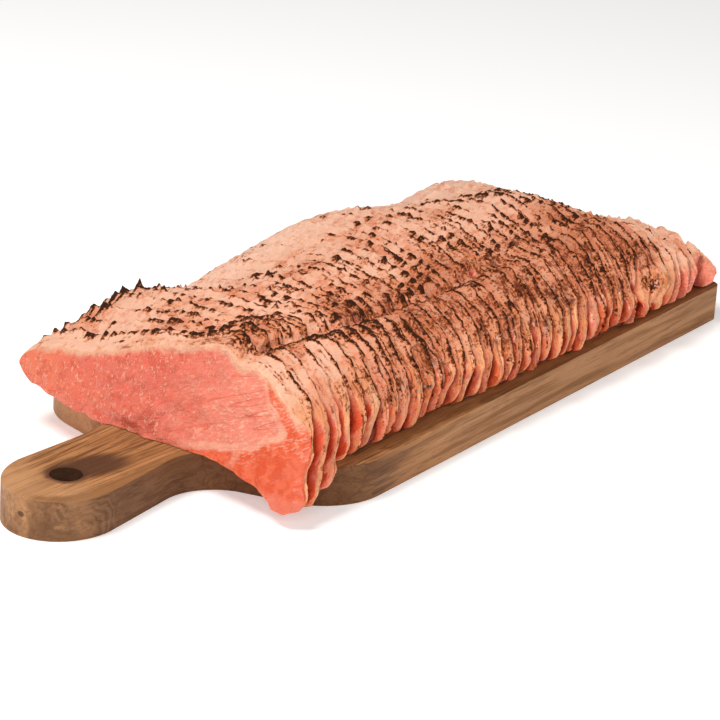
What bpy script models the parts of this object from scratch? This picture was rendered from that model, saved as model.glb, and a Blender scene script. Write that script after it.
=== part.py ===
"""Cold-smoked trout fillet on a wooden paddle board.

The fillet is cut into thin upright slices that still stand in the shape of the whole
fish side, leaning back a little and fanning out towards the far end.  Every slice is
its own solid, and so is the board.

Metres, +Z up.  +X runs along the board from the handle to the far end, +Y points to
the fillet's thin belly side, and the board's underside lies at z = 0.  The origin is
under the middle of the whole.
"""
import math
import random

import bmesh
import bpy

# ---- driving dimensions: the board ----
BOARD_LENGTH = 0.499
BOARD_WIDTH = 0.200
BOARD_THICKNESS = 0.021
HANDLE_TIP_LENGTH = 0.033
HANDLE_TIP_HALF_WIDTH = 0.029
NECK_HALF_WIDTH = 0.0255
NECK_REACH = 0.083
SHOULDER_TURN = math.radians(75)
NECK_RADIUS = 0.031
SHOULDER_RADIUS = 0.039
FAR_CORNER_RADIUS = 0.006
EDGE_ROUNDING = 0.0022
HANDLE_ROUNDING = 0.0065
HANG_HOLE_DIAMETER = 0.0165
HANG_HOLE_REACH = 0.034

# ---- driving dimensions: the fillet ----
SLICE_COUNT = 42
SLICE_PITCH = 0.00915
FRONT_SPREAD = 0.0013
PITCH_SCATTER = 0.0009
SLICE_GAP = 0.0007
FRONT_FOOT = -0.1534
BACK_LIMIT = 0.2480
FAR_END_RISE = 0.024
FRONT_HALF_WIDTH = 0.0915
REAR_HALF_WIDTH = 0.1000
BELLY_HALF_WIDTH = 0.0915
END_INSET = 0.001
END_SCATTER = 0.003
BACK_ROUNDNESS = 2.4
BELLY_ROUNDNESS = 4.2
LEAN = 0.40
FAN_OUT = 0.46
FAN_SLICES = 34
FAN_PIVOT = -0.0945

# Depths of the uncut fillet above the board: thin belly, middle, loin and outer back.
BELLY_DEPTH = 0.029
MIDDLE_DEPTH = 0.046
LOIN_DEPTH = 0.054
LOIN_FALL = 0.012
BACK_FALL = 0.008
MIDDLE_FALL = 0.002
FAR_END_FALL = 0.64
FAR_LOIN_KEPT = 0.15
FAR_END_START = 0.170
FAR_END_STOP = 0.265
# Rises and dips along the belly: distance from the front, reach, height.
BELLY_BUMPS = (
    (0.078, 0.030, 0.010),
    (0.128, 0.024, -0.006),
    (0.235, 0.055, 0.011),
    (0.328, 0.024, -0.007),
    (0.392, 0.028, 0.018),
)
CREASE_DEPTH = 0.005
CREASE_WIDTH = 0.006
CREASE_START = -0.041
CREASE_SLANT = -0.033

# Each slice's far lip stands a little proud of the next one.
RIM_STEP = 0.0022
NEAR_LIP = -0.0008
RUFFLE = 0.0009
RUFFLE_PITCH = 0.0045
THINNEST = 0.006

# Where the front slices reach past the board's shoulders they hang free of it.
LYING_GAP = 0.0004
OVERHANG_DROP = 0.0100
BELLY_LIFT = 0.0045
FLAP_REACH = 0.0935
HANG_CLEARANCE = 0.0015

# The loose block at the far corner.
END_PIECE_DEPTH = 0.0125
END_PIECE_LOW = -0.0993
END_PIECE_HIGH = -0.0780
END_PIECE_THICKNESS = 0.0065
END_PIECE_GAP = 0.010

# ---- how finely a slice is divided ----
ACROSS = 22
UPWARD = 2

rng = random.Random(5)


def ease(value, start, end):
    """Smooth step from 0 at start to 1 at end."""
    t = min(1.0, max(0.0, (value - start) / (end - start)))
    return t * t * (3.0 - 2.0 * t)


def swell(value, middle, reach):
    """Bell curve of height 1."""
    return math.exp(-((value - middle) / reach) ** 2)


def make_material(name, colour, roughness):
    material = bpy.data.materials.new(name)
    material.use_nodes = True
    shader = material.node_tree.nodes["Principled BSDF"]
    shader.inputs["Base Color"].default_value = (*colour, 1.0)
    shader.inputs["Roughness"].default_value = roughness
    shader.inputs["Metallic"].default_value = 0.0
    return material


def new_object(name, mesh, collection, material=None):
    obj = bpy.data.objects.new(name, mesh)
    collection.objects.link(obj)
    if material:
        mesh.materials.append(material)
    return obj


# ---- the board ----

def add_arc(path, heading, radius, turn, steps):
    """Extend the path by an arc; a positive turn bears left."""
    x, y = path[-1]
    side = math.copysign(radius, turn)
    for step in range(1, steps + 1):
        angle = heading + turn * step / steps
        path.append((x + side * (math.sin(angle) - math.sin(heading)),
                     y - side * (math.cos(angle) - math.cos(heading))))
    return heading + turn


def board_half_outline():
    """Plan of the +Y half, from the handle's tip to the middle of the far end."""
    tip = -BOARD_LENGTH / 2
    path = []
    for step in range(9):
        angle = math.pi / 2 * step / 8
        path.append((tip + HANDLE_TIP_LENGTH * (1 - math.cos(angle)),
                     HANDLE_TIP_HALF_WIDTH * math.sin(angle)))
    path.append((tip + NECK_REACH, NECK_HALF_WIDTH))
    heading = add_arc(path, 0.0, NECK_RADIUS, SHOULDER_TURN, 7)
    bends = (NECK_RADIUS + SHOULDER_RADIUS) * (1 - math.cos(SHOULDER_TURN))
    flat = (BOARD_WIDTH / 2 - NECK_HALF_WIDTH - bends) / math.sin(SHOULDER_TURN)
    x, y = path[-1]
    path.append((x + flat * math.cos(heading), y + flat * math.sin(heading)))
    heading = add_arc(path, heading, SHOULDER_RADIUS, -SHOULDER_TURN, 7)
    path.append((BOARD_LENGTH / 2 - FAR_CORNER_RADIUS, BOARD_WIDTH / 2))
    add_arc(path, 0.0, FAR_CORNER_RADIUS, -math.pi / 2, 4)
    return path


def board_broad_start():
    """Where along the board its sides become parallel."""
    bends = (NECK_RADIUS + SHOULDER_RADIUS) * (1 - math.cos(SHOULDER_TURN))
    flat = (BOARD_WIDTH / 2 - NECK_HALF_WIDTH - bends) / math.tan(SHOULDER_TURN)
    reach = (NECK_RADIUS + SHOULDER_RADIUS) * math.sin(SHOULDER_TURN)
    return -BOARD_LENGTH / 2 + NECK_REACH + reach + flat


def board_rounding(x):
    """The handle's upper edge is worn round, the broad part keeps a crisper one."""
    handle_end = -BOARD_LENGTH / 2 + NECK_REACH
    share = ease(x, handle_end + NECK_RADIUS, handle_end - NECK_RADIUS)
    return EDGE_ROUNDING + (HANDLE_ROUNDING - EDGE_ROUNDING) * share


def make_board(collection, cutters, material):
    half = board_half_outline()
    outline = half + [(x, -y) for x, y in reversed(half[1:])]
    curve = bpy.data.curves.new("board_plan", "CURVE")
    curve.dimensions = "2D"
    curve.fill_mode = "BOTH"
    curve.extrude = BOARD_THICKNESS / 2
    spline = curve.splines.new("POLY")
    spline.points.add(len(outline) - 1)
    for point, (x, y) in zip(spline.points, outline):
        point.co = (x, y, 0.0, 1.0)
    spline.use_cyclic_u = True
    plan = bpy.data.objects.new("board_plan", curve)
    collection.objects.link(plan)
    plan.location.z = BOARD_THICKNESS / 2
    bpy.context.view_layer.update()
    evaluated = plan.evaluated_get(bpy.context.evaluated_depsgraph_get())
    mesh = bpy.data.meshes.new_from_object(evaluated)
    board = new_object("board", mesh, collection, material)
    board.matrix_world = plan.matrix_world.copy()
    bpy.data.objects.remove(plan)

    bm = bmesh.new()
    bm.from_mesh(mesh)
    bmesh.ops.remove_doubles(bm, verts=bm.verts, dist=1e-5)
    bmesh.ops.dissolve_limit(bm, angle_limit=0.002, verts=bm.verts, edges=bm.edges)
    weights = bm.edges.layers.float.new("bevel_weight_edge")
    for edge in bm.edges:
        low, high = sorted(vert.co.z for vert in edge.verts)
        if high - low > 1e-5:
            continue
        rounding = EDGE_ROUNDING
        if low > 0.0:
            rounding = board_rounding((edge.verts[0].co.x + edge.verts[1].co.x) / 2)
        edge[weights] = rounding / HANDLE_ROUNDING
    bm.to_mesh(mesh)
    bm.free()

    bevel = board.modifiers.new("worn_edges", "BEVEL")
    bevel.limit_method = "WEIGHT"
    bevel.width = HANDLE_ROUNDING
    bevel.segments = 3
    drill = make_drill(cutters)
    hole = board.modifiers.new("hang_hole", "BOOLEAN")
    hole.operation = "DIFFERENCE"
    hole.solver = "EXACT"
    hole.object = drill
    return board


def make_drill(cutters):
    """Round cutter for the hole near the handle's tip."""
    mesh = bpy.data.meshes.new("hang_hole_drill")
    bm = bmesh.new()
    bmesh.ops.create_cone(bm, cap_ends=True, segments=24, radius1=HANG_HOLE_DIAMETER / 2,
                          radius2=HANG_HOLE_DIAMETER / 2, depth=3 * BOARD_THICKNESS)
    bm.to_mesh(mesh)
    bm.free()
    drill = new_object("hang_hole_drill", mesh, cutters)
    drill.location = (-BOARD_LENGTH / 2 + HANG_HOLE_REACH, 0.0, BOARD_THICKNESS / 2)
    drill.hide_render = True
    drill.display_type = "WIRE"
    return drill


# ---- the fillet ----

def back_half_width(x):
    """The thick side lies well inside the board in front and reaches its edge behind."""
    share = ease(x - FRONT_FOOT, 0.020, 0.300)
    return FRONT_HALF_WIDTH + (REAR_HALF_WIDTH - FRONT_HALF_WIDTH) * share


def fillet_depth(x, y):
    """How high the uncut fillet stood above the board at a place in plan."""
    back = x - FRONT_FOOT
    belly = BELLY_DEPTH + sum(rise * swell(back, at, reach) for at, reach, rise in BELLY_BUMPS)
    middle = MIDDLE_DEPTH - MIDDLE_FALL * ease(back, 0.0, 0.120)
    loin = LOIN_DEPTH - LOIN_FALL * ease(back, 0.020, 0.170)
    side = LOIN_DEPTH - BACK_FALL * ease(back, 0.020, 0.200)
    flat_reach = 0.012 * (1 - ease(back, 0.005, 0.060))
    depth = belly + (middle - belly) * ease(-y, -0.072 + flat_reach, -0.005 + flat_reach)
    depth += (loin - middle) * ease(-y, 0.0, 0.032)
    depth += (side - loin) * ease(-y, 0.040, 0.062)
    crease = CREASE_START + CREASE_SLANT * back
    depth -= CREASE_DEPTH * swell(y, crease, CREASE_WIDTH) * (1 - ease(back, 0.160, 0.280))
    fall = FAR_END_FALL - FAR_LOIN_KEPT * ease(-y, 0.015, 0.045)
    depth *= 1 - fall * ease(x, FAR_END_START, FAR_END_STOP)
    roundness, reach = BELLY_ROUNDNESS, BELLY_HALF_WIDTH
    if y < 0:
        roundness, reach = BACK_ROUNDNESS, back_half_width(x)
    share = min(1.0, abs(y) / reach)
    return depth * (1 - share ** roundness) ** (1 / roundness)


def slice_feet():
    """Where each slice's back edge stands along the board, with one more for the last cut."""
    feet = [FRONT_FOOT]
    for index in range(SLICE_COUNT - 1):
        pitch = SLICE_PITCH + FRONT_SPREAD * math.exp(-index / 3.0)
        feet.append(feet[-1] + pitch + rng.uniform(-PITCH_SCATTER, PITCH_SCATTER))
    return feet + [feet[-1] + END_PIECE_THICKNESS]


def cut_x(cut, feet, y, height):
    """The knife's path: place along the board of one cut, at y and at a height."""
    fan = FAN_OUT * min(1.0, cut / FAN_SLICES) * (y - FAN_PIVOT)
    loose = 0.010 * ease(y, 0.030, 0.092) * swell(cut, 5, 5)
    wave = 0.0016 * math.sin(y / 0.017 + feet[cut] / 0.060) * swell(y, 0.0, 0.060)
    return feet[cut] + fan + LEAN * height + loose + wave


def top_height(cut, feet, y):
    """Height above the board at which a cut meets the fillet's outside."""
    height = MIDDLE_DEPTH
    for _ in range(16):
        height = fillet_depth(cut_x(cut, feet, y, height), y)
    return height


def board_half_width(x):
    """Half the board's width at a place along it, from the neck to the broad part."""
    neck = -BOARD_LENGTH / 2 + NECK_REACH
    broad = board_broad_start()
    if x <= neck:
        return NECK_HALF_WIDTH
    if x >= broad:
        return BOARD_WIDTH / 2
    inner = NECK_HALF_WIDTH + NECK_RADIUS - math.sqrt(max(0.0, NECK_RADIUS ** 2 - (x - neck) ** 2))
    outer = BOARD_WIDTH / 2 - SHOULDER_RADIUS
    outer += math.sqrt(max(0.0, SHOULDER_RADIUS ** 2 - (broad - x) ** 2))
    neck_end = neck + NECK_RADIUS * math.sin(SHOULDER_TURN)
    flat_end = broad - SHOULDER_RADIUS * math.sin(SHOULDER_TURN)
    if x <= neck_end:
        return inner
    if x >= flat_end:
        return outer
    start = NECK_HALF_WIDTH + NECK_RADIUS * (1 - math.cos(SHOULDER_TURN))
    return start + (x - neck_end) * math.tan(SHOULDER_TURN)


def underside(rear, y):
    """Lower edge of a slice above the board: past the board's shoulder it hangs free."""
    edge = board_half_width(rear) + HANG_CLEARANCE
    lower = LYING_GAP
    if edge < FLAP_REACH:
        lower -= OVERHANG_DROP * ease(-y, edge, max(FLAP_REACH, edge + 0.010))
        lower += BELLY_LIFT * ease(y, edge, BELLY_HALF_WIDTH)
    return lower


def slice_ends(index, feet):
    """How far one slice reaches on each side; the last ones run off the far end."""
    if index == SLICE_COUNT - 1:
        return END_PIECE_LOW, END_PIECE_HIGH
    hangs = board_half_width(feet[index + 1]) + HANG_CLEARANCE < FLAP_REACH
    low = -back_half_width(feet[index]) + END_INSET + rng.uniform(0.0, END_SCATTER)
    high = BELLY_HALF_WIDTH - 2 * END_INSET - rng.uniform(0.0, END_SCATTER)
    if hangs:
        low = -FLAP_REACH
    if index == SLICE_COUNT - 2:
        low += END_PIECE_GAP
    fan = FAN_OUT * min(1.0, (index + 1) / FAN_SLICES)
    room = BACK_LIMIT - LEAN * FAR_END_RISE - feet[index + 1]
    return low, min(high, FAN_PIVOT + room / fan)


def end_piece_depth(low, high, y):
    """The loose block at the corner has an outline of its own, blunt at both sides."""
    share = min(1.0, abs(2 * y - low - high) / (high - low))
    return END_PIECE_DEPTH * (1 - 0.9 * share ** 4) ** 0.25


def make_slice(index, feet, collection, material):
    """One slice: a sheet for each cut face, joined round the rim."""
    low, high = slice_ends(index, feet)
    phase = rng.uniform(0.0, math.tau)
    bm = bmesh.new()
    bmesh.ops.create_grid(bm, x_segments=ACROSS, y_segments=UPWARD, size=0.5)
    grown = bmesh.ops.extrude_face_region(bm, geom=list(bm.faces))
    rear = {item for item in grown["geom"] if isinstance(item, bmesh.types.BMVert)}
    for vert in bm.verts:
        even = 2 * vert.co.x
        share = 0.45 * even + 0.55 * math.sin(even * math.pi / 2)
        y = (low + high) / 2 + (high - low) / 2 * share
        is_rear = vert in rear
        cut = index + 1 if is_rear else index
        top = top_height(cut, feet, y)
        if index == SLICE_COUNT - 1:
            top = end_piece_depth(low, high, y)
        ruffle = RUFFLE * math.sin(y / RUFFLE_PITCH + phase)
        top += RIM_STEP + ruffle if is_rear else NEAR_LIP
        bottom = underside(feet[index + 1], y)
        top = max(top, bottom + THINNEST)
        height = bottom + (top - bottom) * (vert.co.y + 0.5)
        x = cut_x(cut, feet, y, height) - (SLICE_GAP if is_rear else 0.0)
        vert.co = (x, y, BOARD_THICKNESS + height)
    bmesh.ops.recalc_face_normals(bm, faces=bm.faces)
    if bm.calc_volume(signed=True) < 0:
        bmesh.ops.reverse_faces(bm, faces=bm.faces)
    name = f"slice_{index + 1:02d}"
    mesh = bpy.data.meshes.new(name)
    bm.to_mesh(mesh)
    bm.free()
    return new_object(name, mesh, collection, material)


def clear_scene():
    for obj in list(bpy.data.objects):
        bpy.data.objects.remove(obj)


def new_collection(name):
    collection = bpy.data.collections.new(name)
    bpy.context.scene.collection.children.link(collection)
    return collection


def main():
    clear_scene()
    parts = new_collection("trout_on_board")
    cutters = new_collection("cutters")
    wood = make_material("oiled_wood", (0.42, 0.22, 0.11), 0.55)
    flesh = make_material("trout_flesh", (0.85, 0.33, 0.20), 0.40)
    make_board(parts, cutters, wood)
    feet = slice_feet()
    for index in range(SLICE_COUNT):
        make_slice(index, feet, parts, flesh)


main()
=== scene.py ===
# %% [markdown]
# ## Cold-smoked trout on a paddle board
# One side of trout has been cut into forty-two thin slices that still stand in the shape
# of the whole fish, seared dark along their edges, on a rustic wooden board.  The solids
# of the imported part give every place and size.  This script gives the looks: each solid
# is replaced by a finer piece of the same form.

# %% Load the frame
import math
import random
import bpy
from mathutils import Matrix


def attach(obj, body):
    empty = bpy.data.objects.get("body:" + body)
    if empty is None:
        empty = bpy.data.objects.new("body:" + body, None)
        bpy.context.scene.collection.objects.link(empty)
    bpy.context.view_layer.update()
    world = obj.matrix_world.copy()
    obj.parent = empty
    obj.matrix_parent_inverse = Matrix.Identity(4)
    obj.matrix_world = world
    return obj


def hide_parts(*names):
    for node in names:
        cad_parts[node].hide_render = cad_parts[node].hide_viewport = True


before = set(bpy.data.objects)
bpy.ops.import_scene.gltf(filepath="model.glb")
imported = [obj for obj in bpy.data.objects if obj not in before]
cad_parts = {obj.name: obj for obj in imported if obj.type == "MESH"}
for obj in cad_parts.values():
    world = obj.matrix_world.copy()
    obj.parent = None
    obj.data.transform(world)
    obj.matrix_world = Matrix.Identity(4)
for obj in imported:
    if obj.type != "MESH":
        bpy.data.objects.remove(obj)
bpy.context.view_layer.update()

from types import SimpleNamespace

import bmesh
import bpy
import numpy as np
from mathutils import Matrix, Vector

# %% Objects and meshes


def add_object(name, data):
    """Put an object that holds this data into the scene."""
    made = bpy.data.objects.new(name, data)
    bpy.context.scene.collection.objects.link(made)
    return made


def add_mesh(name, vertices, faces):
    mesh = bpy.data.meshes.new(name)
    mesh.from_pydata(vertices, [], faces)
    mesh.update()
    return add_object(name, mesh)


def plain_mesh(made):
    """What an object looks like with its modifiers, as a mesh of its own."""
    return bpy.data.meshes.new_from_object(
        made.evaluated_get(bpy.context.evaluated_depsgraph_get()))


# %% [markdown]
# ## Camera, floor and light
# The camera stands where the photographer's did: a long lens, a little above the board's
# near corner.  Its place and turn come from the board's straight edges, whose real size
# is known.  The three angles are simple to read, so the matrix is built from them.

# %% Camera
CAMERA_AT = Vector((-1.3154, -0.9107, 0.6579))
CAMERA_HEADING = math.radians(34.08)
CAMERA_DROP = math.radians(21.77)
CAMERA_ROLL = math.radians(3.75)
CAMERA_LENS = 161.2

ahead = Vector((math.cos(CAMERA_HEADING) * math.cos(CAMERA_DROP),
                math.sin(CAMERA_HEADING) * math.cos(CAMERA_DROP),
                -math.sin(CAMERA_DROP)))
level = ahead.cross(Vector((0.0, 0.0, 1.0))).normalized()
upright = level.cross(ahead)
right = level * math.cos(CAMERA_ROLL) + upright * math.sin(CAMERA_ROLL)
above = upright * math.cos(CAMERA_ROLL) - level * math.sin(CAMERA_ROLL)
camera_data = bpy.data.cameras.new("camera")
camera_data.lens = CAMERA_LENS
camera_data.sensor_width = 36.0
camera_data.clip_start = 0.05
camera_data.clip_end = 50.0
camera = add_object("camera", camera_data)
camera.matrix_world = Matrix.Translation(CAMERA_AT) @ Matrix(
    (right, above, -ahead)).transposed().to_4x4()
bpy.context.scene.camera = camera
print("camera", round(CAMERA_AT.length, 3), "m from the board's middle")

# %% [markdown]
# A wide pale floor and large soft lamps give the even light of a product picture.  The
# key comes from high up on the left, so the top and the front cut are bright and the long
# side stays a little darker.  The floor glows faintly, which lifts it to white.

# %% Floor and lamps
FLOOR_SIZE = 30.0
FLOOR_DROP = 0.0002
FLOOR_GLOW = 0.34
WHITE = (1.0, 1.0, 1.0, 1.0)
FLOOR_GREY = (0.92, 0.92, 0.92, 1.0)
WORLD_LIGHT = 0.13
LAMPS = (  # name, place, what it looks at, size, watts, tint
    ("key", (-0.6, 0.3, 1.5), (0.0, 0.0, 0.04), 0.6, 20.5, (1.0, 0.98, 0.95)),
    ("front", (-1.5, -0.7, 0.9), (0.0, 0.0, 0.04), 0.7, 8.5, (1.0, 1.0, 1.0)),
    ("side", (0.4, -1.5, 0.9), (0.05, 0.0, 0.04), 0.7, 8.0, (1.0, 0.97, 0.94)),
)

half = FLOOR_SIZE / 2
floor = add_mesh("floor", [(-half, -half, 0), (half, -half, 0), (half, half, 0), (-half, half, 0)],
                 [(0, 1, 2, 3)])
floor.location.z = -FLOOR_DROP
floor_paint = bpy.data.materials.new("floor_paint")
floor_paint.use_nodes = True
for socket, value in (("Base Color", FLOOR_GREY), ("Roughness", 0.9), ("Emission Color", WHITE),
                      ("Emission Strength", FLOOR_GLOW)):
    floor_paint.node_tree.nodes["Principled BSDF"].inputs[socket].default_value = value
floor.data.materials.append(floor_paint)

for name, place, target, size, watts, tint in LAMPS:
    lamp_data = bpy.data.lights.new(name, "AREA")
    lamp_data.shape = "SQUARE"
    lamp_data.size = size
    lamp_data.energy = watts
    lamp_data.color = tint
    lamp = add_object(name, lamp_data)
    lamp.location = place
    lamp.rotation_euler = (Vector(target) - Vector(place)).to_track_quat("-Z", "Y").to_euler()
world = bpy.data.worlds.new("studio")
bpy.context.scene.world = world
world.use_nodes = True
world.node_tree.nodes["Background"].inputs["Color"].default_value = WHITE
world.node_tree.nodes["Background"].inputs["Strength"].default_value = WORLD_LIGHT
bpy.context.scene.view_settings.view_transform = "Standard"
print(len(LAMPS), "lamps of", sum(lamp[4] for lamp in LAMPS), "W in all")

# %% [markdown]
# ## The sizes shared with the solids
# The slices follow the same rule as the solids do: an uncut fillet whose depth is known
# everywhere, and a fan of cuts through it.  The named sizes and the seeded draws are the
# solids' own, so every fine slice lands on its solid.

# %% Named sizes of the board and the fillet
BOARD_LENGTH = 0.499
BOARD_WIDTH = 0.2
BOARD_THICKNESS = 0.021
HANDLE_TIP_LENGTH = 0.033
HANDLE_TIP_HALF_WIDTH = 0.029
NECK_HALF_WIDTH = 0.0255
NECK_REACH = 0.083
SHOULDER_TURN = math.radians(75)
NECK_RADIUS = 0.031
SHOULDER_RADIUS = 0.039
FAR_CORNER_RADIUS = 0.006
EDGE_ROUNDING = 0.0022
HANDLE_ROUNDING = 0.0065
HANG_HOLE_DIAMETER = 0.0165
HANG_HOLE_REACH = 0.034

SLICE_COUNT = 42
SLICE_PITCH = 0.00915
FRONT_SPREAD = 0.0013
PITCH_SCATTER = 0.0009
SLICE_GAP = 0.0007
FRONT_FOOT = -0.1534
BACK_LIMIT = 0.248
FAR_END_RISE = 0.024
FRONT_HALF_WIDTH = 0.0915
REAR_HALF_WIDTH = 0.1
BELLY_HALF_WIDTH = 0.0915
END_INSET = 0.001
END_SCATTER = 0.003
BACK_ROUNDNESS = 2.4
BELLY_ROUNDNESS = 4.2
LEAN = 0.4
FAN_OUT = 0.46
FAN_SLICES = 34
FAN_PIVOT = -0.0945
BELLY_DEPTH = 0.029
MIDDLE_DEPTH = 0.046
LOIN_DEPTH = 0.054
LOIN_FALL = 0.012
BACK_FALL = 0.008
MIDDLE_FALL = 0.002
FAR_END_FALL = 0.64
FAR_LOIN_KEPT = 0.15
FAR_END_START = 0.17
FAR_END_STOP = 0.265
BELLY_BUMPS = (  # place behind the front foot, reach, rise
    (0.078, 0.03, 0.01),
    (0.128, 0.024, -0.006),
    (0.235, 0.055, 0.011),
    (0.328, 0.024, -0.007),
    (0.392, 0.028, 0.018),
)
CREASE_DEPTH = 0.005
CREASE_WIDTH = 0.006
CREASE_START = -0.041
CREASE_SLANT = -0.033
RIM_STEP = 0.0022
NEAR_LIP = -0.0008
THINNEST = 0.006
LYING_GAP = 0.0004
OVERHANG_DROP = 0.01
BELLY_LIFT = 0.0045
FLAP_REACH = 0.0935
HANG_CLEARANCE = 0.0015
END_PIECE_DEPTH = 0.0125
END_PIECE_LOW = -0.0993
END_PIECE_HIGH = -0.078
END_PIECE_THICKNESS = 0.0065
END_PIECE_GAP = 0.01
LOOSE_TIPS = 0.01
WAVE_SWING = 0.0016
WAVE_LENGTH = 0.017
WAVE_DRIFT = 0.06
HEIGHT_ROUNDS = 16

BOARD_HALF = BOARD_WIDTH / 2
HANDLE_END = -BOARD_LENGTH / 2
NECK_X = HANDLE_END + NECK_REACH
HOLE_X = HANDLE_END + HANG_HOLE_REACH
SHOULDER_BENDS = (NECK_RADIUS + SHOULDER_RADIUS) * (1 - math.cos(SHOULDER_TURN))
SHOULDER_RISE = BOARD_HALF - NECK_HALF_WIDTH - SHOULDER_BENDS
BROAD_X = (NECK_X + (NECK_RADIUS + SHOULDER_RADIUS) * math.sin(SHOULDER_TURN)
           + SHOULDER_RISE / math.tan(SHOULDER_TURN))
END_PIECE = SLICE_COUNT - 1

# %% Helpers on arrays of numbers


def ease(value, start, end):
    """Smooth step from 0 at start to 1 at end."""
    t = np.clip((value - start) / (end - start), 0.0, 1.0)
    return t * t * (3.0 - 2.0 * t)


def swell(value, middle, reach):
    """Bell curve of height 1."""
    return np.exp(-((value - middle) / reach) ** 2)


def drift(x, y, seed):
    """Smooth noise between -1 and 1 that changes over a distance of about 1."""
    x, y = np.broadcast_arrays(np.asarray(x, float), np.asarray(y, float))
    column, row = np.floor(x).astype(np.int64), np.floor(y).astype(np.int64)
    fx, fy = x - column, y - row
    fx, fy = fx * fx * (3 - 2 * fx), fy * fy * (3 - 2 * fy)

    def corner(i, j):
        mixed = (i * 374761393 + j * 668265263 + seed * 974634777) & 0xFFFFFFFF
        mixed = ((mixed ^ (mixed >> 13)) * 1274126177) & 0xFFFFFFFF
        return ((mixed ^ (mixed >> 16)) & 0xFFFF) / 32767.5 - 1.0

    near = corner(column, row) * (1 - fx) + corner(column + 1, row) * fx
    far = corner(column, row + 1) * (1 - fx) + corner(column + 1, row + 1) * fx
    return near * (1 - fy) + far * fy


# %% The uncut fillet and the cuts through it
SLICE_SEED = 5
rng = random.Random(SLICE_SEED)


def back_half_width(x):
    share = ease(x - FRONT_FOOT, 0.02, 0.3)
    return FRONT_HALF_WIDTH + (REAR_HALF_WIDTH - FRONT_HALF_WIDTH) * share


def fillet_depth(x, y):
    """How high the uncut fillet stood above the board at a place in plan."""
    back = x - FRONT_FOOT
    belly = BELLY_DEPTH + sum(rise * swell(back, at, reach) for at, reach, rise in BELLY_BUMPS)
    middle = MIDDLE_DEPTH - MIDDLE_FALL * ease(back, 0.0, 0.12)
    loin = LOIN_DEPTH - LOIN_FALL * ease(back, 0.02, 0.17)
    side = LOIN_DEPTH - BACK_FALL * ease(back, 0.02, 0.2)
    flat_reach = 0.012 * (1 - ease(back, 0.005, 0.06))
    depth = belly + (middle - belly) * ease(-y, -0.072 + flat_reach, -0.005 + flat_reach)
    depth += (loin - middle) * ease(-y, 0.0, 0.032)
    depth += (side - loin) * ease(-y, 0.04, 0.062)
    crease = CREASE_START + CREASE_SLANT * back
    depth -= CREASE_DEPTH * swell(y, crease, CREASE_WIDTH) * (1 - ease(back, 0.16, 0.28))
    fall = FAR_END_FALL - FAR_LOIN_KEPT * ease(-y, 0.015, 0.045)
    depth *= 1 - fall * ease(x, FAR_END_START, FAR_END_STOP)
    roundness = np.where(y < 0, BACK_ROUNDNESS, BELLY_ROUNDNESS)
    reach = np.where(y < 0, back_half_width(x), BELLY_HALF_WIDTH)
    share = np.minimum(1.0, np.abs(y) / reach)
    return depth * (1 - share ** roundness) ** (1 / roundness)


def slice_feet():
    """Where each slice's back edge stands along the board, with one more for the last cut."""
    feet = [FRONT_FOOT]
    for index in range(SLICE_COUNT - 1):
        pitch = SLICE_PITCH + FRONT_SPREAD * math.exp(-index / 3.0)
        feet.append(feet[-1] + pitch + rng.uniform(-PITCH_SCATTER, PITCH_SCATTER))
    return feet + [feet[-1] + END_PIECE_THICKNESS]


feet = slice_feet()


def cut_x(cut, y, height):
    """The knife's path: place along the board of one cut, at y and at a height."""
    fan = FAN_OUT * min(1.0, cut / FAN_SLICES) * (y - FAN_PIVOT)
    loose = LOOSE_TIPS * ease(y, 0.03, 0.092) * swell(cut, 5, 5)
    wave = WAVE_SWING * np.sin(y / WAVE_LENGTH + feet[cut] / WAVE_DRIFT) * swell(y, 0.0, 0.06)
    return feet[cut] + fan + LEAN * height + loose + wave


def top_height(cut, y):
    """Height above the board at which a cut meets the fillet's outside.

    The cut leans, so its place depends on its height, and a few rounds settle both.
    """
    height = np.full_like(y, MIDDLE_DEPTH)
    for _ in range(HEIGHT_ROUNDS):
        height = fillet_depth(cut_x(cut, y, height), y)
    return height


def board_half_width(x):
    """Half the board's width at a place along it, from the neck to the broad part."""
    if x <= NECK_X:
        return NECK_HALF_WIDTH
    if x >= BROAD_X:
        return BOARD_HALF
    neck_end = NECK_X + NECK_RADIUS * math.sin(SHOULDER_TURN)
    if x <= neck_end:
        return NECK_HALF_WIDTH + NECK_RADIUS - math.sqrt(NECK_RADIUS ** 2 - (x - NECK_X) ** 2)
    if x >= BROAD_X - SHOULDER_RADIUS * math.sin(SHOULDER_TURN):
        rise = math.sqrt(SHOULDER_RADIUS ** 2 - (BROAD_X - x) ** 2)
        return BOARD_HALF - SHOULDER_RADIUS + rise
    start = NECK_HALF_WIDTH + NECK_RADIUS * (1 - math.cos(SHOULDER_TURN))
    return start + (x - neck_end) * math.tan(SHOULDER_TURN)


def underside(rear, y):
    """Lower edge of a slice above the board: past the board's shoulder it hangs free."""
    edge = board_half_width(rear) + HANG_CLEARANCE
    lower = np.full_like(y, LYING_GAP)
    if edge < FLAP_REACH:
        lower -= OVERHANG_DROP * ease(-y, edge, max(FLAP_REACH, edge + 0.01))
        lower += BELLY_LIFT * ease(y, edge, BELLY_HALF_WIDTH)
    return lower


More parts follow.
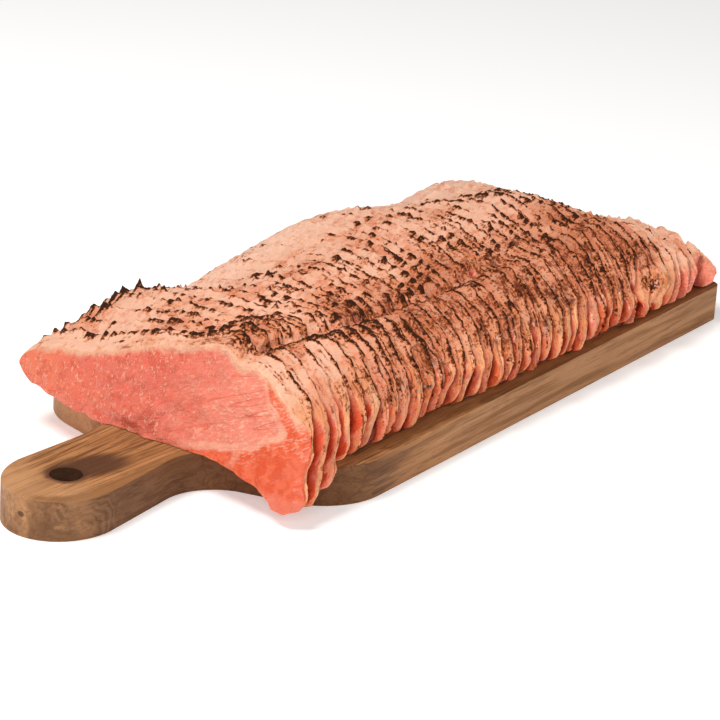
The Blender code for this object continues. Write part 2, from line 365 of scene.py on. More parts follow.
def slice_ends(index):
    """How far one slice reaches on each side; the last ones run off the far end."""
    if index == END_PIECE:
        return END_PIECE_LOW, END_PIECE_HIGH
    hangs = board_half_width(feet[index + 1]) + HANG_CLEARANCE < FLAP_REACH
    low = -back_half_width(feet[index]) + END_INSET + rng.uniform(0.0, END_SCATTER)
    high = BELLY_HALF_WIDTH - 2 * END_INSET - rng.uniform(0.0, END_SCATTER)
    if hangs:
        low = -FLAP_REACH
    if index == END_PIECE - 1:
        low += END_PIECE_GAP
    fan = FAN_OUT * min(1.0, (index + 1) / FAN_SLICES)
    room = BACK_LIMIT - LEAN * FAR_END_RISE - feet[index + 1]
    return float(low), float(min(high, FAN_PIVOT + room / fan))


ends = []
for index in range(SLICE_COUNT):
    ends.append(slice_ends(index))
    rng.uniform(0.0, math.tau)  # the solids draw one more number for every slice
print("feet from", round(feet[0], 4), "to", round(feet[-1], 4))

# %% [markdown]
# ## Node trees written as sums
# Both the searing of the edges and the colours are made of nodes.  One small class wraps
# a socket so that plus, minus and times add Math nodes, and one method adds any other
# node.  The same two serve materials and Geometry Nodes.

# %% A socket that can be added and multiplied


def sign(operation, turned=False):
    """A method that adds the Math node of one sign; turned swaps its two values."""
    def write(self, other):
        return self.maths(operation, *((other, self) if turned else (self, other)))
    return write


class Wire:
    """One output socket that Python's signs work on."""

    def __init__(self, recipe, socket):
        self.recipe, self.socket = recipe, socket

    def maths(self, operation, *values):
        return self.recipe.node("ShaderNodeMath", {"operation": operation},
                                dict(enumerate(values)))[0]

    __add__ = __radd__ = sign("ADD")
    __mul__ = __rmul__ = sign("MULTIPLY")
    __sub__, __rsub__ = sign("SUBTRACT"), sign("SUBTRACT", True)
    __truediv__, __rtruediv__ = sign("DIVIDE"), sign("DIVIDE", True)
    __pow__, larger, smaller = sign("POWER"), sign("MAXIMUM"), sign("MINIMUM")


# %% A tree that nodes are added to


class Recipe:
    """Adds nodes to one tree."""

    def __init__(self, tree):
        self.tree = tree

    def node(self, kind, settings=None, sockets=None):
        """Add a node: its settings first, then values or links; gives its outputs."""
        made = self.tree.nodes.new(kind)
        for name, value in (settings or {}).items():
            setattr(made, name, value)
        for name, value in (sockets or {}).items():
            if isinstance(value, Wire):
                self.tree.links.new(value.socket, made.inputs[name])
            else:
                made.inputs[name].default_value = value
        return [Wire(self, socket) for socket in made.outputs]

    def attribute(self, name, output=2):
        """A field that the mesh carries: output 2 is a number, output 1 a vector."""
        return self.node("ShaderNodeAttribute", {"attribute_name": name})[output]

    def apart(self, vector):
        return self.node("ShaderNodeSeparateXYZ", None, {"Vector": vector})

    def join(self, x, y, z=0.0):
        return self.node("ShaderNodeCombineXYZ", None, {"X": x, "Y": y, "Z": z})[0]

    def stretch(self, vector, x, y=1.0, z=1.0):
        return self.node("ShaderNodeMapping", None, {"Vector": vector, "Scale": (x, y, z)})[0]

    def smooth(self, value, low, high):
        """0 below low, 1 above high, eased between; it falls where low is the larger."""
        sockets = {"Value": value, "From Min": low, "From Max": high}
        return self.node("ShaderNodeMapRange", {"interpolation_type": "SMOOTHSTEP"}, sockets)[0]

    def line(self, value, middle, half):
        """1 where value is at middle, falling to 0 at half on either side."""
        off = (value - middle) / half
        return self.smooth(off * off, 1.0, 0.2)

    def noise(self, vector, size, detail=3.0, rough=0.5, warp=0.0, output=0):
        """Noise whose patches are about size metres across."""
        sockets = {"Vector": vector, "Scale": 1.0 / size, "Detail": detail,
                   "Roughness": rough, "Distortion": warp}
        return self.node("ShaderNodeTexNoise", None, sockets)[output]

    def patches(self, vector, size, detail=3.0, rough=0.6, warp=0.0, low=0.32, high=0.68):
        """Noise drawn apart until it fills 0 to 1."""
        return self.smooth(self.noise(vector, size, detail, rough, warp), low, high)

    def specks(self, vector, size, share, radius):
        """Round specks, size metres apart; share of the cells that hold one."""
        found = self.node("ShaderNodeTexVoronoi", None, {"Vector": vector, "Scale": 1.0 / size})
        chance = self.node("ShaderNodeSeparateColor", None, {"Color": found[1]})[0]
        return self.smooth(found[0], radius, radius * 0.6) * self.smooth(share - chance, 0.0, 0.03)

    def jitter(self, vector, size, amount):
        """The same place pushed about by noise, so that shapes drawn on it turn ragged."""
        def arrows(operation, *values):
            names = (0, "Scale") if operation == "SCALE" else (0, 1)
            return self.node("ShaderNodeVectorMath", {"operation": operation},
                             dict(zip(names, values)))[0]
        push = arrows("SUBTRACT", self.noise(vector, size, 2.0, output=1), (0.5, 0.5, 0.5))
        return arrows("ADD", vector, arrows("SCALE", push, amount))

    def coats(self, colour, *layers):
        """Lay coats of colour over one another, each with its share of cover first."""
        def full(coat):
            return coat if isinstance(coat, Wire) else (*coat, 1.0)
        for share, coat in layers:
            colour = self.node("ShaderNodeMix", {"data_type": "RGBA"},
                               {0: share, 6: full(colour), 7: full(coat)})[2]
        return colour


# %% Start and finish a material


def new_material(name):
    """An empty material with its recipe and the place in the object's space."""
    material = bpy.data.materials.new(name)
    material.use_nodes = True
    recipe = Recipe(material.node_tree)
    return material, recipe, recipe.node("ShaderNodeTexCoord")[3]


def finish_material(material, recipe, sockets, bump):
    """Give the shader its wires and numbers, and the relief its strength and depth."""
    shader = material.node_tree.nodes["Principled BSDF"]
    strength, depth, relief = bump
    normal = recipe.node("ShaderNodeBump", None,
                         {"Strength": strength, "Distance": depth, "Height": relief})[0]
    for name, value in {**sockets, "Normal": normal}.items():
        if isinstance(value, Wire):
            recipe.tree.links.new(value.socket, shader.inputs[name])
        else:
            shader.inputs[name].default_value = value
    print(material.name, "has", len(material.node_tree.nodes), "nodes")
    return material


# %% [markdown]
# ## The flesh
# Where the knife went the flesh is raw: coral pink with pale threads.  Where the fire
# went it is cooked: peach, toasted in patches, and black on the thin lips.  The mesh
# carries how far a point lies from front cut to back cut, how much fire it had and
# whether it is a cut face, and noise breaks those fields up.  Every colour is laid over
# the last like a coat of paint, so the order of the coats can be read from top to bottom.

# %% Flesh colours
PALE = (0.913, 0.509, 0.352)
PALE_PINK = (0.93, 0.585, 0.435)
HONEY = (0.807, 0.342, 0.195)
BROWNED = (0.58, 0.172, 0.074)
ROSE = (0.78, 0.27, 0.17)
GREYED = (0.48, 0.26, 0.19)
TOAST = (0.275, 0.062, 0.016)
GOLD = (0.61, 0.156, 0.032)
SCORCH = (0.14, 0.028, 0.006)
CHAR = (0.042, 0.012, 0.004)
SIDE_WET = (0.875, 0.29, 0.12)
SIDE_DEEP = (0.57, 0.135, 0.04)
SIDE_PINK = (0.86, 0.37, 0.24)
SIDE_ORANGE = (0.93, 0.27, 0.085)
SIDE_SHADED_RED = (0.76, 0.075, 0.018)
SIDE_TONE_AND_HIGHLIGHT = (0.98, 0.47, 0.22)
RAW = (0.91, 0.205, 0.108)
RAW_PINK = (0.89, 0.18, 0.118)
RAW_DEEP = (0.72, 0.085, 0.045)
RAW_ORANGE = (0.78, 0.095, 0.028)
RAW_LOBE = (0.91, 0.3, 0.205)
RAW_STRIP = (0.93, 0.185, 0.085)
# The gap colours are raw red deepened by painted shade.
GAP_SHADED_RED = (0.61, 0.055, 0.014)
GAP_SHADE = (0.26, 0.016, 0.005)
FAT = (0.97, 0.5, 0.34)
CREAM = (0.93, 0.52, 0.33)
GRAIN_UP, GRAIN_ACROSS = 0.39, 0.92
FLESH_FIELDS = ("seam", "raw", "fired", "char", "wall", "tone", "gold", "side", "inset", "rim",
                "foot")

# %% Flesh material


def flesh_material():
    material, recipe, place = new_material("seared_trout")
    smooth, line, noise, coats = recipe.smooth, recipe.line, recipe.noise, recipe.coats
    seam, raw, fired, char, wall, tone, gold, side, inset, rim, foot = map(
        recipe.attribute, FLESH_FIELDS)
    lane = recipe.attribute("lane", 1)
    x, y, z = recipe.apart(place)

    # Four sizes of patches from 0 to 1, and how far each one lies from its middle.
    broad = recipe.patches(place, 0.018, 2.0, 0.5)
    patch = recipe.patches(place, 0.0055)
    fine = recipe.patches(place, 0.0017)
    grit = noise(place, 0.0007, 2.0, 0.6)
    streak = recipe.patches(recipe.stretch(lane, 0.3), 0.0019, warp=0.4, low=0.34, high=0.66)
    broad_off, patch_off, fine_off, grit_off, tone_off = (
        field - 0.5 for field in (broad, patch, fine, grit, tone))

    # Right side: wet, with red painted shade where a slice hides behind its neighbour.
    warmth = fired + broad_off * 0.3 + tone_off * 0.25 + patch_off * 0.35
    hanging = smooth(foot + tone_off * 0.014 + broad_off * 0.012, 0.036, 0.014)
    inner_edge_shade = smooth(seam + patch_off * 0.28, 0.44, 0.08) * hanging
    # A painted highlight lies along the belly of each hanging slice.
    belly = line(seam + patch_off * 0.2, 0.66, 0.26) * hanging
    glow = smooth(patch + broad_off * 0.6, 0.48, 0.92) * smooth(foot, 0.036, 0.014)
    outer = coats(SIDE_WET,
                  (smooth(warmth + streak * 0.3, 0.6, 1.25), SIDE_DEEP),
                  (smooth(tone, 0.6, 0.85) * 0.6, SIDE_PINK),
                  (smooth(tone, 0.34, 0.14) * 0.65, SIDE_TONE_AND_HIGHLIGHT),
                  (glow * 0.8, SIDE_ORANGE),
                  (belly * (0.35 + broad * 0.5), SIDE_TONE_AND_HIGHLIGHT),
                  (inner_edge_shade * 0.85, SIDE_SHADED_RED))

    # Cooked outside: pale on the thin side, browner where the fire was strong.
    thin_side = smooth(y, 0.04, 0.074) * smooth(x, -0.1, -0.04)
    halo = char * 1.2 + gold + patch_off * 0.4 + fine_off * 0.4
    cooked = coats(PALE,
                   (smooth(warmth, 0.05, 0.55), HONEY),
                   (smooth(warmth, 0.42, 1.05), BROWNED),
                   (thin_side * 0.7, PALE_PINK),
                   (side * 0.9, outer),
                   (smooth(patch + tone_off * 0.5, 0.6, 0.95) * 0.45, ROSE),
                   (smooth(patch, 0.28, 0.08) * fired * 0.45, GREYED),
                   (smooth(halo, 0.12, 0.5) * 0.7, GOLD))

    # Brown streaks run along the slices, and fine dark ridges beside the lips.
    lobe = side * smooth(foot, 0.026, 0.008)
    crisp = streak * 0.55 + fine * 0.45 + fired * 0.42 + seam * seam * fired * 0.12
    crisp = crisp + char * 0.35 - side * 0.05 - lobe * 0.15 + broad_off * 0.22
    ridge = line(noise(recipe.stretch(lane, 0.16), 0.0042, 2.0, 0.5, 0.5), 0.5, 0.03)
    ridge = ridge * smooth(fired + patch_off * 0.8 + broad_off * 0.6, 0.5, 0.95)
    ridge = ridge * (1 - lobe * 0.7)
    # Pale specks of fat, which also stand in as painted glints on the flats.
    ragged_place = recipe.jitter(place, 0.0016, 0.0022)
    fat_specks_and_glints = recipe.specks(ragged_place, 0.0024, 0.1 + patch_off * 0.4, 0.36)

    # Black lips, brown beside them, and flecks where the fire licked the flat.
    ragged = patch_off * 0.3 + fine_off * 0.65 + grit_off * 0.6
    edge = char + ragged * smooth(char, 0.02, 0.25)
    brown, black = smooth(edge, 0.28, 0.52), smooth(edge, 0.58, 0.72)
    loose = recipe.jitter(place, 0.0012, 0.0018)
    small = fired * 0.45 - 0.14 + patch_off * 0.4 - lobe * 0.14
    small = recipe.specks(loose, 0.0017, small, 0.32)
    large = fired * 0.4 - 0.2 + broad_off * 0.4 - lobe * 0.08
    large = recipe.specks(loose, 0.0042, large, 0.28)

    # Beside the cuts red painted shade darkens the flesh, and the slit itself is painted nearly
    # black as shade.
    deep_red_shade = smooth(seam + fine_off * 0.06, 0.13, 0.03) * hanging * side
    slit_shade = smooth(seam, 0.045, 0.0).larger(smooth(seam, 0.975, 1.0)) * side
    seared = coats(cooked,
                   (smooth(crisp, 0.97, 1.14) * 0.85, TOAST),
                   (smooth(crisp, 1.18, 1.38) * 0.85, SCORCH),
                   (ridge * 0.7, SCORCH),
                   (fat_specks_and_glints * 0.55, PALE),
                   (brown * 0.85, SCORCH),
                   (small * 0.8, SCORCH),
                   (large.larger(black), CHAR),
                   (deep_red_shade * 0.8, GAP_SHADED_RED),
                   (slit_shade * 0.65, GAP_SHADE))

    # Raw flesh: pale flecks stand upright on the left and rise to the right in the lobe.
    height = z - BOARD_THICKNESS
    front = smooth(x, -0.116, -0.128)
    along, over = z * GRAIN_UP - y * GRAIN_ACROSS, y * GRAIN_UP + z * GRAIN_ACROSS
    right_lobe = smooth(y + broad_off * 0.02, 0.000, -0.048)
    flecks = noise(recipe.stretch(place, 0.6, 1.0, 0.55), 0.0016, 3.0, 0.62, 1.0)
    grain = smooth(noise(recipe.join(along * 0.36, over), 0.0011, 2.0, 0.6, 0.5), 0.5, 0.61)
    fleck = smooth(flecks, 0.55, 0.63) + line(flecks, 0.46, 0.018) * 0.6
    fleck = fleck * (1 - right_lobe) + grain * right_lobe
    muscle = line(noise(recipe.join(along * 0.075, over), 0.0062, 0.0), 0.5, 0.016)

    # Low down and along the right rim the front cut is wet and orange, behind a pale arc.
    step = smooth(y, -0.058, -0.072) * 0.006
    below = height + (y + 0.011) * 0.17 - step + broad_off * 0.0022
    beside = rim - 0.0066 + smooth(y, -0.064, -0.046) * 0.03 + broad_off * 0.0016
    inner = below.maths("SMOOTH_MIN", below, beside, 0.006)
    low = smooth(inner, 0.0006, -0.0014) * smooth(y, 0.022, -0.004) * front
    fringe = grain * smooth(below, -0.01, -0.001) * smooth(y, -0.046, -0.058)
    wet = coats(RAW_ORANGE,
                (smooth(patch + broad * 0.5, 0.35, 1.1) * 0.7, RAW_STRIP),
                (smooth(height, -0.003, -0.0095) * 0.45, RAW_LOBE),
                (fringe * 0.55, FAT))
    pale_arc = line(inner, 0.0014, 0.0026) * smooth(y, -0.01, -0.036)
    fold = line(y + height * 0.2 + broad_off * 0.006, -0.054, 0.0034)
    fold = fold * smooth(below, 0.001, -0.002) * smooth(below, -0.012, -0.004)
    cream = smooth(inset + patch_off * 0.55, 1.25, 0.05) * smooth(y, 0.088, 0.074)

    # Cut faces that show between two slices are raw red, with painted shade deepening to near black
    # in the gap.
    shaded_gap = coats(GAP_SHADE,
                (smooth(seam, 0.01, 0.12), GAP_SHADED_RED),
                (smooth(seam + patch_off * 0.16, 0.14, 0.38), RAW_ORANGE),
                (smooth(seam + broad_off * 0.3, 0.3, 0.6) * 0.85, RAW_STRIP))
    flesh = coats(RAW_PINK,
                  (smooth(broad * 0.3 + (y - 0.02) * 10.0, 0.2, 0.8), RAW),
                  (smooth(patch, 0.45, 0.95) * (0.6 - right_lobe * 0.3), RAW_DEEP),
                  (right_lobe * (0.5 + patch * 0.35), RAW_LOBE),
                  (fleck * smooth(patch + broad * 0.4, 0.05, 0.7) * 0.72, FAT),
                  (muscle * right_lobe * front * 0.6, RAW_DEEP),
                  (pale_arc * front * (0.25 + patch * 0.35), FAT),
                  (low * 0.92, wet),
                  (fold * front * 0.35, FAT),
                  (cream * 0.88, CREAM),
                  (wall, shaded_gap))

    dry = black.larger(brown * 0.7).larger(small)
    relief = fine * 0.35 + grit * 0.3 + patch * 0.3 + black * 0.3 + small * 0.25 + streak * 0.35
    relief = relief + ridge * 0.35 + fleck * raw * 0.25
    return finish_material(material, recipe, {
        "Base Color": coats(seared, (raw, flesh)),
        "Roughness": 0.48 + black * 0.27 + fine * 0.1,
        "Coat Weight": raw * 0.45 + side * 0.4 * (1 - raw) * (1 - dry),
        "Coat Roughness": 0.24,
        "Specular IOR Level": 0.14,
        "Subsurface Weight": 0.08,
        "Subsurface Radius": (0.006, 0.002, 0.001),
        "Subsurface Scale": 0.5,
    }, (0.75, 0.001, relief))


flesh = flesh_material()

# %% [markdown]
# ## One slice as a mesh
# A slice is a closed band: a fine grid runs over its outer rim, from the right foot over
# the top to the left foot, and plain sheets close its two cut faces and its underside.
# Across the rim the grid dips into a groove at the front cut and climbs to a thin lip at
# the back cut, which is what the fire blackened.  A rule this regular is quickest as
# arrays of places.

# %% Sizes of the rim and its folds
ACROSS_RIM = np.array([0.0, 0.015, 0.04, 0.07, 0.11, 0.16, 0.22, 0.29, 0.36, 0.41, 0.45, 0.49,
                       0.55, 0.62, 0.69, 0.75, 0.8, 0.85, 0.89, 0.93, 0.97, 0.99, 1.0])
RIM_SPACING = 0.0008
FACE_ROWS = 34
OUTLINE_SAMPLES = 1200
FOOT_ROUNDING = 0.006
FRONT_FOOT_ROUNDING = 0.0095
END_PIECE_ROUNDING = 0.0015
FRONT_DROOP = 0.0046
FOOT_LIFT = 0.0045
LEFT_POINT = 0.005
TOP_BAND = 0.0042
SIDE_BAND = 0.0012
TOOTH_SPACING = (0.0032, 0.0095)
TOOTH_HALF_WIDTH = (0.0011, 0.0034)
SPIKE_REACH = 0.0015
LIP_HEIGHT, TOOTH_HEIGHT = 0.0006, 0.002
FOLD_HEIGHT, FOLD_TOOTH_HEIGHT, SMALL_FOLD_HEIGHT = 0.0005, 0.001, 0.00075
HIGHEST_LUMP = 0.0034

# %% Sizes of the right wall's relief and of the curl
GROOVE_DEPTH, PARTED_GROOVE_DEPTH, PARTED_REAR_DEPTH = 0.0008, 0.0034, 0.0024
BELLY_HEIGHT = 0.0026
CREASE_CUT = 0.0018
WALL_SWAY = 0.0016
CURL_AT = (0.1765, 0.019)
CURL_REACH = (0.015, 0.0092)
DOME_HEIGHT = 0.007
EYE_DEPTH = 0.004
TORN_DEPTH = 0.0046

# %% Where single spikes, lumps, hollows and gaps are
FRONT_SPIKES = (  # slice, y, height
    (0, 0.0895, 0.0012), (0, 0.082, 0.001), (0, 0.07, 0.0012), (0, 0.061, 0.001),
    (1, 0.087, 0.0024), (1, 0.078, 0.0014), (2, 0.088, 0.0018), (2, 0.0825, 0.0016),
    (3, 0.0865, 0.0016), (3, 0.0815, 0.002), (4, 0.0845, 0.004), (5, 0.083, 0.0062),
    (6, 0.074, 0.0018), (5, 0.07, 0.002), (4, 0.056, 0.0018), (3, 0.064, 0.0014),
)
LUMPS = (  # slice, y, height, reach
    (0, -0.032, 0.0022, 0.0045), (1, -0.037, 0.0036, 0.004), (2, -0.0365, 0.0034, 0.0038),
    (4, -0.0395, 0.0036, 0.0046), (8, -0.04, 0.0024, 0.005), (20, -0.037, 0.0036, 0.004),
)
HOLLOWS = (  # slice, y, depth, reach
    (1, -0.043, 0.003, 0.0026), (3, -0.043, 0.003, 0.0028), (9, -0.0455, 0.0062, 0.0052),
    (8, -0.048, 0.0036, 0.0036), (5, -0.047, 0.0024, 0.0034), (20, -0.044, 0.0026, 0.003),
)
SIDE_GAPS = (  # cut, height, reach
    (1, 0.008, 0.022), (2, 0.018, 0.016), (3, 0.02, 0.015), (4, 0.027, 0.011),
    (5, 0.02, 0.009), (7, 0.031, 0.007), (12, 0.0277, 0.009), (17, 0.032, 0.008),
    (21, 0.023, 0.009), (24, 0.013, 0.008), (29, 0.02, 0.006), (33, 0.02, 0.011),
    (38, 0.01, 0.008),
)
HOT_SPOTS = (  # cut, y, how much hotter, reach in cuts, reach in y
    (1.2, -0.022, 0.46, 1.6, 0.028), (4.2, -0.046, 0.3, 2, 0.014),
    (7.5, -0.078, 0.5, 2.2, 0.014), (7.5, -0.06, 0.15, 2.5, 0.014),
    (6, 0.08, 0.8, 4, 0.014), (2, 0.076, 0.3, 2, 0.012),
    (12, -0.043, 0.3, 2.5, 0.006), (11, -0.026, -0.35, 2, 0.007),
    (15, -0.036, 0.48, 2, 0.01), (19, -0.086, 0.25, 2, 0.008),
    (23, -0.086, -0.2, 2, 0.008), (28, -0.06, 0.14, 2.5, 0.014),
    (31, -0.086, -0.5, 2.2, 0.009), (31, -0.012, 0.42, 2, 0.008),
    (31, 0.038, -0.45, 2.5, 0.014), (35, -0.028, -0.75, 3, 0.016),
    (35, -0.012, -0.5, 2, 0.006), (35, 0.012, 0.45, 2.2, 0.009),
    (35, 0.052, -0.6, 3, 0.015), (39.5, 0.028, -0.35, 2, 0.014),
    (35, 0.036, -0.4, 2.5, 0.008), (4.6, -0.01, -0.38, 1.8, 0.009),
)

# %% How cuts stray and neighbours part


def unit(values):
    """The values, kept between 0 and 1."""
    return np.clip(values, 0.0, 1.0)


def cut_wander(cut, y, height):
    """How far one cut strays along the board; both slices that meet there follow it."""
    shift = cut * 7.31
    wander = 0.0015 * drift(y / 0.02 + shift, height / 0.02, 11)
    wander += 0.0012 * drift(y / 0.0068 + shift, height / 0.0068, 12)
    wander += 0.0004 * drift(y / 0.0026 + shift, height / 0.0026, 13)
    bend = drift(height / 0.019 + shift, shift * 0.37, 14)
    return wander + 0.0021 * bend * ease(-y, 0.064, 0.086)


def wandering_cut_x(cut, y, height):
    return cut_x(cut, y, height) + cut_wander(cut, y, height)


def parting(cut, height):
    """How far two neighbours have come apart on the right side, from 0 to 1."""
    apart = 0.22 + 0.5 * drift(cut * 1.7, 0.5, 21) + 0.5 * drift(height / 0.014, cut * 3.7, 22)
    for at_cut, middle, reach in SIDE_GAPS:
        if at_cut == cut:
            apart = apart + 1.1 * swell(height, middle, reach)
    return unit(apart)


def humps(table, index, y):
    """The bell curves that a table holds for one slice, added up."""
    return sum((size * swell(y, at, reach) for owner, at, size, reach in table if owner == index),
               0.0 * y)


# %% [markdown]
# ## The fire along the lips
# The flame caught what stood up: the thin lips, above all where they gather along the
# thick side and the crease, and hardly the far end and the thin side.  Rules in plan say
# how hot a place was, a short table adds the spots that stand out in the picture, and
# seeded teeth make each lip ragged.  Height and char come from the same teeth, so what is
# highest is also what is blackest.

# %% Where the fire was


def clump_at(x, y):
    """Where the char gathers in clusters: above 0 inside one, below 0 between them."""
    return drift(x / 0.015 + 3.3, y / 0.0095, 35)


def hot_spot_at(cut, y):
    """How much hotter or cooler than usual one spot of the fish was."""
    return sum(strength * swell(cut, at_cut, reach_cut) * swell(y, at_y, reach_y)
               for at_cut, at_y, strength, reach_cut, reach_y in HOT_SPOTS)


def heat_at(cut, x, y):
    """How much fire the lips had at a place in plan, from 0 to about 1."""
    back = x - FRONT_FOOT
    heat = 0.97 - 0.3 * ease(y, -0.02, 0.035)
    heat += 0.16 * ease(y, 0.000, 0.04) * (1 - ease(back, 0.075, 0.11))
    heat -= 0.5 * ease(y, 0.000, 0.065) * ease(back, 0.075, 0.135)
    heat += 0.25 * swell(y, 0.01, 0.018) * ease(back, 0.33, 0.37)
    heat -= 0.75 * ease(x, 0.178, 0.208) * ease(-y, 0.005, 0.035)
    heat -= 0.22 * (1 - ease(back, 0.05, 0.09)) * ease(-y, 0.044, 0.062)
    heat += hot_spot_at(cut, y)
    return heat + 0.2 * drift(x / 0.026, y / 0.018, 31) + 0.34 * clump_at(x, y) - 0.06


def browned_at(cut, x, y):
    """How brown the flat of a slice is between its lips, from 0 to about 1."""
    thick = ease(-y, -0.002, 0.036)
    far_band = ease(y, -0.004, 0.008) * (1 - ease(y, 0.022, 0.036))
    browned = 0.12 + thick * (0.28 + 0.38 * ease(cut, 4, 14))
    browned += 0.12 * ease(-y, 0.056, 0.076) * ease(cut, 2, 6)
    browned += 0.18 * swell(y, 0.016, 0.012) + 0.5 * far_band * ease(cut, 32, 35)
    browned += 0.45 * hot_spot_at(cut, y)
    browned -= 0.7 * ease(cut, 33.5, 38.5) * ease(-y, -0.01, 0.03)
    return browned + 0.22 * drift(x / 0.024, y / 0.018, 32)


# %% Ragged teeth along a lip


def teeth(seed, length):
    """Place, half width, height and burn of the ragged teeth along one lip."""
    draw = random.Random(seed)
    found = []
    at = draw.uniform(0.0, TOOTH_SPACING[0])
    while at < length:
        found.append((at, draw.uniform(*TOOTH_HALF_WIDTH), draw.random() ** 1.3, draw.random()))
        at += draw.uniform(*TOOTH_SPACING)
    return np.array(found).T


def toothed(seed, run, heat, stretch):
    """Height and burn, both 0 to 1, of the teeth along a line."""
    at, half, rise, burn = teeth(seed, run[-1])
    away = np.abs(run[:, None] - at) / (half * stretch[:, None])
    height = (rise * np.exp(-away ** 1.6)).max(axis=1)
    lasting = unit(burn * 1.1 + 1.35 * heat[:, None] - 1.15)
    blob = np.sqrt(unit(1 - (away / 1.25) ** 2))
    return height, (lasting ** 0.6 * blob).max(axis=1)


# %% Outline of one slice


def soften(values, reach):
    """Running mean over reach points on each side."""
    padded = np.pad(values, reach, mode="edge")
    return np.convolve(padded, np.ones(2 * reach + 1) / (2 * reach + 1), mode="valid")


def walk(y, height):
    """The distance walked along a line, at each of its points."""
    return np.concatenate([[0.0], np.cumsum(np.hypot(np.diff(y), np.diff(height)))])


def top_and_bottom(index):
    """Both cuts' upper edges and the underside, at many places from left to right."""
    low, high = ends[index]
    y = np.linspace(low, high, OUTLINE_SAMPLES)
    if index == END_PIECE:
        share = np.minimum(1.0, np.abs(2 * y - low - high) / (high - low))
        front = rear = END_PIECE_DEPTH * (1 - 0.9 * share ** 5) ** 0.2
    else:
        front, rear = top_height(index, y), top_height(index + 1, y)
    bottom = underside(feet[index + 1], y)
    if index < 3:
        bottom = bottom - FRONT_DROOP * ease(-y, 0.0735, 0.0815)
    elif index > 5:
        lift = FOOT_LIFT * random.Random(300 + index).random() ** 1.5
        bottom = bottom + lift * ease(-y, -low - 0.01, -low)
    return [y, np.maximum(front + NEAR_LIP, bottom + THINNEST),
            np.maximum(rear + RIM_STEP, bottom + THINNEST), bottom]


def slice_outline(index):
    """The rim's line from the right foot over the top to the left foot.

    For every point of it: y, the height of both cuts, the underside's height, the share
    of the way up an end and the distance walked; and the underside as a line of its own.
    """
    dense = top_and_bottom(index)
    run = walk(dense[0], (dense[1] + dense[2]) / 2)
    at = np.linspace(0.0, run[-1], max(8, int(run[-1] / RIM_SPACING)))
    top = [np.interp(at, run, values) for values in dense]

    def column(side):
        """The same four values up one end, with the share of the way up."""
        y, front, rear, base = (values[side] for values in top)
        count = max(3, int(((front + rear) / 2 - base) / RIM_SPACING))
        share = np.linspace(0.0, 1.0, count, endpoint=False)
        return [np.full(count, value) for value in (y, front, rear, base)] + [share]

    parts = [column(0), top + [np.ones(len(at))], [values[::-1] for values in column(-1)]]
    y, front, rear, base, share = (np.concatenate(values) for values in zip(*parts))
    front, rear = base + (front - base) * share, base + (rear - base) * share
    if ends[index][0] == -FLAP_REACH:
        blend = ease(np.arange(len(y)), 3, 9) * ease(-y, 0.07, 0.084)
        y, front, rear = (values + (soften(values, 8) - values) * blend
                          for values in (y, front, rear))
    return SimpleNamespace(plain_y=y, front=front, rear=rear, base=base, share=share,
                           walked=walk(y, (front + rear) / 2), under=(dense[0], dense[3]))


# %% Feet and walls of one slice


def slice_line(index):
    """The outline with its outward direction, its rounded feet and its own draws."""
    line = slice_outline(index)
    line.middle = (line.front + line.rear) / 2
    line.lift = line.middle - line.base

    # Outward direction along the line, smoothed so that the corners are rounded.
    steps = np.stack([soften(np.gradient(values), 4) for values in (line.plain_y, line.middle)])
    steps /= np.maximum(1e-9, np.hypot(*steps))
    line.out_y, line.out_h = -steps[1], steps[0]
    line.right_wall, line.left_wall = ease(-line.out_y, 0.45, 0.95), ease(line.out_y, 0.45, 0.95)

    # Tongue-shaped feet: the lower corner is rounded and the slice thins towards it.
    rounding = FRONT_FOOT_ROUNDING if index < 3 else FOOT_ROUNDING
    if index == END_PIECE:
        rounding = END_PIECE_ROUNDING
    near_foot = unit(1.0 - line.lift / rounding)
    tuck = rounding * (1 - np.sqrt(1 - near_foot ** 2)) * (line.share < 1.0)
    point = LEFT_POINT * line.left_wall * swell(line.middle, 0.0135, 0.006)
    point = point * max(0.0, 1 - index / 2)
    line.y = line.plain_y + tuck * np.where(line.out_y < 0, 0.8, -0.8) + point
    own = random.Random(700 + index)
    reach, line.tone, line.puff = own.uniform(0.009, 0.02), own.random(), own.uniform(0.0, 0.0024)
    thinning = unit(1.0 - line.lift / reach) ** 1.6
    line.taper = 1.0 - 0.6 * line.right_wall * thinning * float(index < END_PIECE)
    line.foot_weight = ease(line.lift, 0.0, 0.004)
    line.on_top = ease(line.share, 0.85, 1.0)
    line.plan_x = cut_x(index, line.y, line.front)
    return line


# %% What the fire did along one slice


